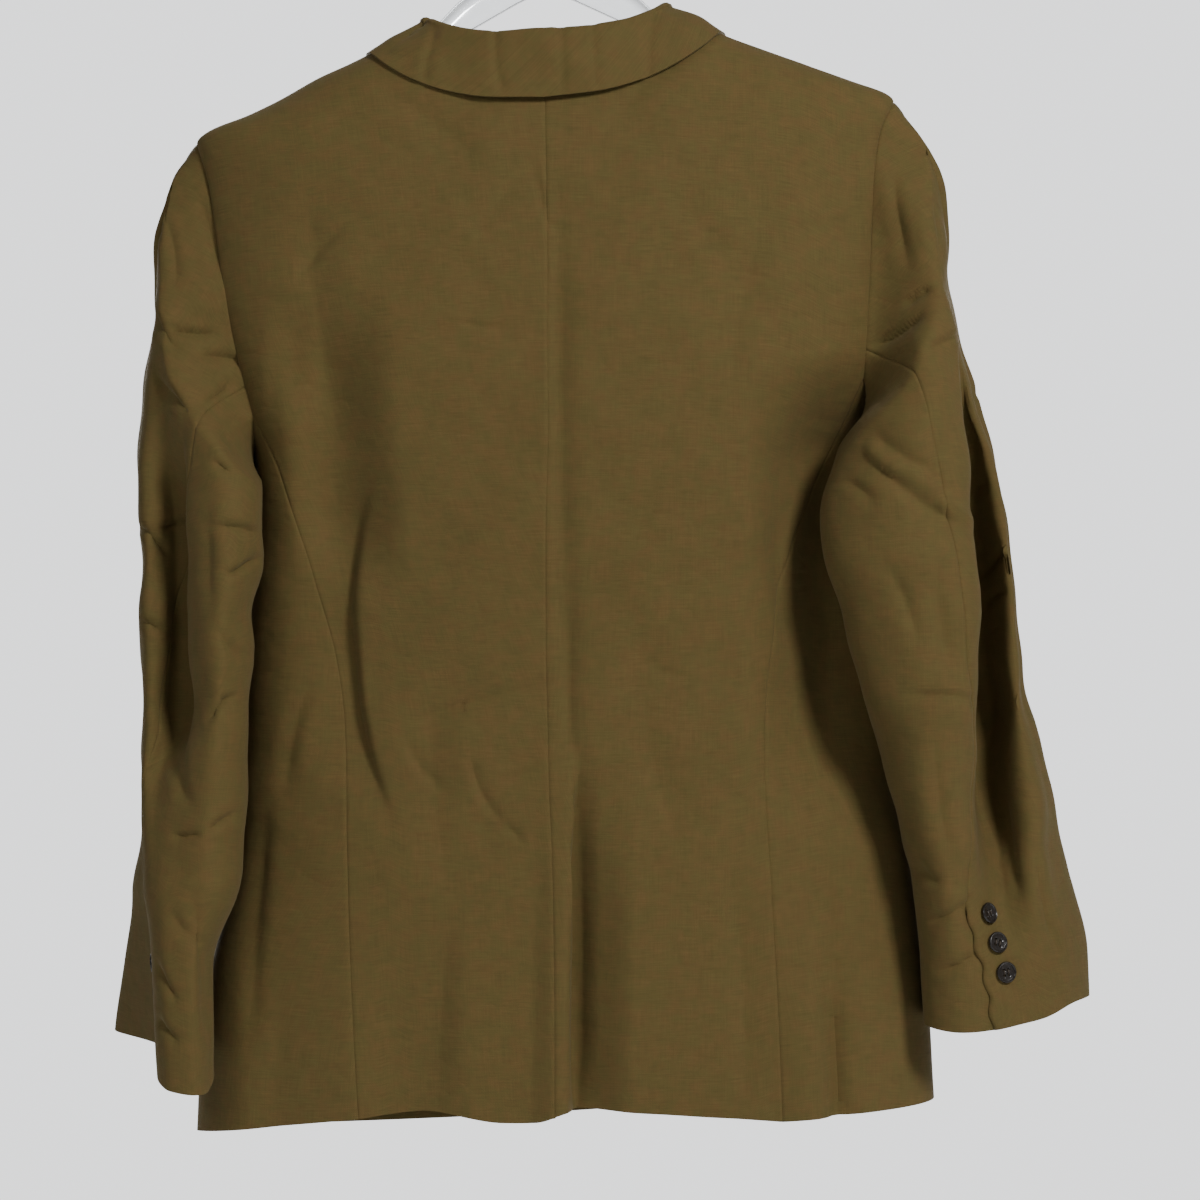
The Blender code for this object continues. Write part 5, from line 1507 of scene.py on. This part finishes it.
def hanger_mesh():
    """A flat outline, thickened, with a thinner web inside its rim."""
    bm = bmesh.new()
    verts = []
    for x, drop in hanger_outline():
        verts.append(bm.verts.new((x * MM, -HANGER_HALF_THICK * MM, (LEAN * x - drop) * MM)))
    face = bm.faces.new(verts)
    made = bmesh.ops.extrude_face_region(bm, geom=[face])
    moved = [v for v in made["geom"] if isinstance(v, bmesh.types.BMVert)]
    bmesh.ops.translate(bm, verts=moved, vec=(0, 2 * HANGER_HALF_THICK * MM, 0))
    bmesh.ops.recalc_face_normals(bm, faces=bm.faces)
    flats = [f for f in bm.faces if len(f.verts) > 4]
    rim = HANGER_WEB["rim"] * MM
    bmesh.ops.inset_individual(bm, faces=flats, thickness=rim, use_even_offset=True)
    for flat in flats:
        sunk = flat.normal * -HANGER_WEB["sunk"] * MM
        bmesh.ops.translate(bm, verts=flat.verts, vec=sunk)
    edges = [e for e in bm.edges if len(e.link_faces) == 2 and e.calc_face_angle() > 0.9]
    rounding = {"offset": HANGER_WEB["edge"] * MM, "segments": 2, "profile": 0.5}
    bmesh.ops.bevel(bm, geom=edges, affect="EDGES", material=-1, **rounding)
    bmesh.ops.triangulate(bm, faces=[f for f in bm.faces if len(f.verts) > 4])
    return bm


def hook_path():
    """The wire's middle, from inside the boss up and round to the tip."""
    centre_drop = HOOK_RADIUS - HOOK_WIRE
    low = -centre_drop - HOOK_RADIUS - HOOK_SHANK["below"]
    points = [(0, -BOSS_DROP - HOOK_SHANK["in_boss"]), (0, -BOSS_DROP)]
    points += [(0, low - HOOK_SHANK["straight"]), (0, low)]
    start = HOOK_START_ANGLE
    for k in range(HOOK_STEPS + 1):
        angle = math.radians(start + (180 - HOOK_TIP_ANGLE - start) * k / HOOK_STEPS)
        points.append((HOOK_RADIUS * math.cos(angle), HOOK_RADIUS * math.sin(angle) - centre_drop))
    line = smooth_line([(x, 0, z) for x, z in points], 96)
    return [tuple(p * MM) for p in line]


# ---- Settings ----


def tint(name, description, default):
    return bpy.props.FloatVectorProperty(
        name=name, description=description, subtype="COLOR", size=3, default=default, min=0, max=1
    )


def amount(name, description, default, most=1.0):
    return bpy.props.FloatProperty(
        name=name, description=description, default=default, min=0, max=most
    )


def distance(name, description, default, precision=3):
    return bpy.props.FloatProperty(
        name=name, description=description, default=default, unit="LENGTH", precision=precision
    )


class BlazerClothSettings(bpy.types.PropertyGroup):
    colour: tint("Cloth colour", "Brown of the wool", (0.086, 0.064, 0.0185))
    red_fibre: tint("Red fibre", "Where the mixed fibres are redder", (0.098, 0.062, 0.0195))
    thickness: distance("Thickness", "Shell with its interfacing", 0.0018, 4)
    step: distance("Grid step", "Spacing of the cloth's points", 0.0022, 4)
    creases: amount("Creases", "Strength of the creases", 1.8, 3.0)
    seam_depth: distance("Seam depth", "How far a seam's edges roll in", 0.0008, 5)
    threads: amount("Threads", "Threads in a metre of cloth", 1900.0, 5000.0)
    slub: amount("Slub", "Unevenness of the threads' shade", 0.5)
    relief: amount("Relief", "Strength of the weave's relief", 0.35)
    crinkle: amount("Crinkle", "Strength of the small wrinkles", 0.55)
    nap: amount("Nap", "Sheen of the soft nap", 0.06)
    broad_dye: amount("Broad dye", "Unevenness of the dye over the whole cloth", 0.10)
    fine_dye: amount("Fine dye", "Unevenness of the dye from spot to spot", 0.22)


class BlazerTrimSettings(bpy.types.PropertyGroup):
    colour: tint("Button colour", "Dark brown of the buttons", (0.011, 0.008, 0.006))
    thread_colour: tint("Thread colour", "Sewing thread", (0.035, 0.024, 0.014))
    plastic: tint("Plastic", "Tint of the clear hanger", (0.95, 0.97, 0.98))
    steel: tint("Steel", "Colour of the hook", (0.62, 0.62, 0.63))


class BlazerStageSettings(bpy.types.PropertyGroup):
    distance: distance("Camera distance", "From the hanger's plane", 2.6)
    view_width: distance("View width", "Width of the view at the hanger's plane", 0.792)
    floor: tint("Floor colour", "Pale studio floor", (0.78, 0.79, 0.80))
    surround: tint("Surround", "Pale studio surround", (0.975, 0.985, 1.0))
    room_before: amount("Room light before", "In front of the blazer's back", 0.29, 10.0)
    room_behind: amount("Room light behind", "Behind the blazer", 1.75, 10.0)


def cloth_settings():
    return bpy.context.scene.blazer_cloth


def cloth_step():
    return cloth_settings().step / MM * 1


def grid_shares(piece, across_seams, down_seams):
    """The shares of a piece's grid each way, with whether each end is a seam."""
    (width, wide_step), (height, high_step) = GRIDS[piece]
    step = cloth_step()
    u = shares(width, step * wide_step, *across_seams)
    return u, shares(height, step * high_step, *down_seams)


def flipped(surface):
    """Rows from the top down, as the grids' cloth coordinates run."""
    return tuple(values[::-1] for values in surface)


class BLAZER_OT_body(bpy.types.Operator):
    """Backs, side panels and fronts"""

    bl_idname = "blazer.body"
    bl_label = "Body panels"

    def execute(self, context):
        settings = cloth_settings()
        middle = np.array([0, 0, -0.5])
        creases = {-1: BACK_CREASES, 1: FRONT_CREASES}
        panels = (
            ("back", back_surface, (-1,), ("left", "right", "top")),
            ("front", front_surface, (1,), ("right", "top")),
            ("side", side_surface, (-1, 1), ("left", "right", "top")),
        )
        for side, name in SIDES:
            for panel, panel_surface, faces, seams in panels:
                across = "left" in seams, "right" in seams
                u, v = grid_shares(panel, across, (False, True))
                surface = flipped(panel_surface(side, u, v))
                tables = {face: creases[face] for face in faces}
                sheet_piece(f"{panel}_{name}", surface, tables, settings, seams, middle)
        return {"FINISHED"}


class BLAZER_OT_sleeves(bpy.types.Operator):
    """Top and under sleeves"""

    bl_idname = "blazer.sleeves"
    bl_label = "Sleeves"

    def execute(self, context):
        settings, seams = cloth_settings(), ("left", "right", "top")
        for side, name in SIDES:
            for piece in ("sleeve_top", "sleeve_under"):
                u, v = grid_shares(piece, (True, True), (True, False))
                surface = sleeve_surface(side, piece == "sleeve_top", u, v)
                out, depth = ring(side, surface[2]).mean(axis=0)
                middle = to_metres(side * out, depth, surface[2])
                creases = SLEEVE_CREASES[name]
                sheet_piece(f"{piece}_{name}", surface, creases, settings, seams, middle)
        return {"FINISHED"}


class BLAZER_OT_collar(bpy.types.Operator):
    """Collar and lapels"""

    bl_idname = "blazer.collar"
    bl_label = "Collar and lapels"

    def execute(self, context):
        settings, step = cloth_settings(), cloth_step()
        length, columns = COLLAR_GRID
        surface = collar_surface(round(length / step), columns)
        neck = np.array([0, 0, -0.2])
        obj = sheet_piece("collar", surface, {-1: COLLAR_CREASES}, settings, (), neck, 0.0)
        obj.modifiers["Thickness"].thickness = COLLAR_THICKNESS * MM
        behind = np.array([0, -1.0, -0.4])
        length, columns = LAPEL_GRID
        for side, name in SIDES:
            surface = flipped(lapel_surface(side, round(length / step), columns))
            sheet_piece(f"lapel_{name}", surface, {}, settings, (), behind)
        return {"FINISHED"}


class BLAZER_OT_buttons(bpy.types.Operator):
    """Cuff and front buttons"""

    bl_idname = "blazer.buttons"
    bl_label = "Buttons"

    def execute(self, context):
        settings = context.scene.blazer_trim
        for side, name in SIDES:
            spins = (12, -20, 8)
            rows = zip(CUFF_BUTTON_STATIONS[name], CUFF_BUTTON_DROPS, spins)
            for k, (station, drop, spin) in enumerate(rows, 1):
                point, normal = seat_on(
                    lambda s, d, side=side: sleeve_spot(side, s / 20, d), station * 20, drop
                )
                middle = sleeve_spot(side, 5.5, drop)
                normal = normal * math.copysign(1, normal @ (point - middle))
                place = seated(point, normal, spin)
                make_button(f"cuff_button_{name}_{k}", CUFF_BUTTON, place, settings)
        for k, drop in enumerate(FRONT_BUTTON_DROPS, 1):
            point, normal = seat_on(
                lambda x, d: np.array([x, float(front_depth(x, d)), LEAN * x - d]), 0.0, drop
            )
            normal = normal * math.copysign(1, normal[1])
            place = seated(point, normal, 10 * k)
            make_button(f"front_button_{k}", FRONT_BUTTON, place, settings)
        return {"FINISHED"}


class BLAZER_OT_hanger(bpy.types.Operator):
    """Clear plastic hanger and its hook"""

    bl_idname = "blazer.hanger"
    bl_label = "Hanger"

    def execute(self, context):
        settings = context.scene.blazer_trim
        body = linked("hanger_body_clear", hanger_mesh(), plastic_material(settings))
        wire = tube(hook_path(), HOOK_WIRE * MM, 16)
        hook = linked("hanger_hook_wire", wire, steel_material(settings))
        for piece, name, slot in ((body, "hanger_body", "plastic"), (hook, "hanger_hook", "steel")):
            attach(piece, "root")
            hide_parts(name)
        return {"FINISHED"}


class BLAZER_OT_stage(bpy.types.Operator):
    """Floor, light and camera"""

    bl_idname = "blazer.stage"
    bl_label = "Stage"

    def execute(self, context):
        settings = context.scene.blazer_stage
        bm = bmesh.new()
        bmesh.ops.create_grid(bm, x_segments=1, y_segments=1, size=FLOOR["half"])
        bmesh.ops.translate(bm, verts=bm.verts, vec=(0, 0, FLOOR["height"]))
        linked("floor", bm, floor_material(settings))
        context.scene.world = studio_room(settings)
        for name, (place, size, power) in LAMPS.items():
            light = bpy.data.lights.new(name, "AREA")
            light.size = size
            light.energy = power
            lamp = bpy.data.objects.new(name, light)
            lamp.location = place
            aim = Vector(LAMP_AIM) - Vector(place)
            lamp.rotation_euler = aim.to_track_quat("-Z", "Y").to_euler()
            context.scene.collection.objects.link(lamp)
        camera = bpy.data.cameras.new("camera")
        camera.sensor_width = SENSOR
        camera.lens = SENSOR * settings.distance / settings.view_width
        eye = bpy.data.objects.new("camera", camera)
        eye.location = (EYE[0], -settings.distance, EYE[1])
        eye.rotation_euler = (math.pi / 2, 0, 0)
        context.scene.collection.objects.link(eye)
        context.scene.camera = eye
        return {"FINISHED"}


def studio_room(settings):
    """A pale room, dim before the blazer's back and bright behind it."""
    world = bpy.data.worlds.new("studio")
    world.use_nodes = True
    tree = world.node_tree
    split = node(tree, "ShaderNodeSeparateXYZ")
    way = node(tree, "ShaderNodeTexCoord").outputs["Generated"]
    tree.links.new(way, split.inputs[0])
    level = node(tree, "ShaderNodeMapRange", ROOM_TURN)
    level.inputs["To Min"].default_value = settings.room_before
    level.inputs["To Max"].default_value = settings.room_behind
    tree.links.new(split.outputs["Y"], level.inputs["Value"])
    background = tree.nodes["Background"]
    background.inputs["Color"].default_value = (*settings.surround, 1.0)
    tree.links.new(level.outputs[0], background.inputs["Strength"])
    return world


OPERATORS = (
    BLAZER_OT_body,
    BLAZER_OT_sleeves,
    BLAZER_OT_collar,
    BLAZER_OT_buttons,
    BLAZER_OT_hanger,
    BLAZER_OT_stage,
)


class BLAZER_PT_panel(bpy.types.Panel):
    bl_idname = "BLAZER_PT_panel"
    bl_label = "Blazer"
    bl_space_type = "VIEW_3D"
    bl_region_type = "UI"
    bl_category = "Blazer"

    def draw(self, context):
        for group in ("blazer_cloth", "blazer_trim", "blazer_stage"):
            settings = getattr(context.scene, group)
            box = self.layout.box()
            for name in settings.__annotations__:
                box.prop(settings, name)
        for operator in OPERATORS:
            self.layout.operator(operator.bl_idname)


GROUPS = {
    "blazer_cloth": BlazerClothSettings,
    "blazer_trim": BlazerTrimSettings,
    "blazer_stage": BlazerStageSettings,
}


def register():
    for group in GROUPS.values():
        bpy.utils.register_class(group)
    for name, group in GROUPS.items():
        setattr(bpy.types.Scene, name, bpy.props.PointerProperty(type=group))
    for operator in OPERATORS:
        bpy.utils.register_class(operator)
    bpy.utils.register_class(BLAZER_PT_panel)


def unregister():
    bpy.utils.unregister_class(BLAZER_PT_panel)
    for operator in reversed(OPERATORS):
        bpy.utils.unregister_class(operator)
    for name, group in GROUPS.items():
        delattr(bpy.types.Scene, name)
        bpy.utils.unregister_class(group)


def main():
    register()
    for operator in OPERATORS:
        family, name = operator.bl_idname.split(".")
        getattr(getattr(bpy.ops, family), name)()


if __name__ == "__main__":
    main()
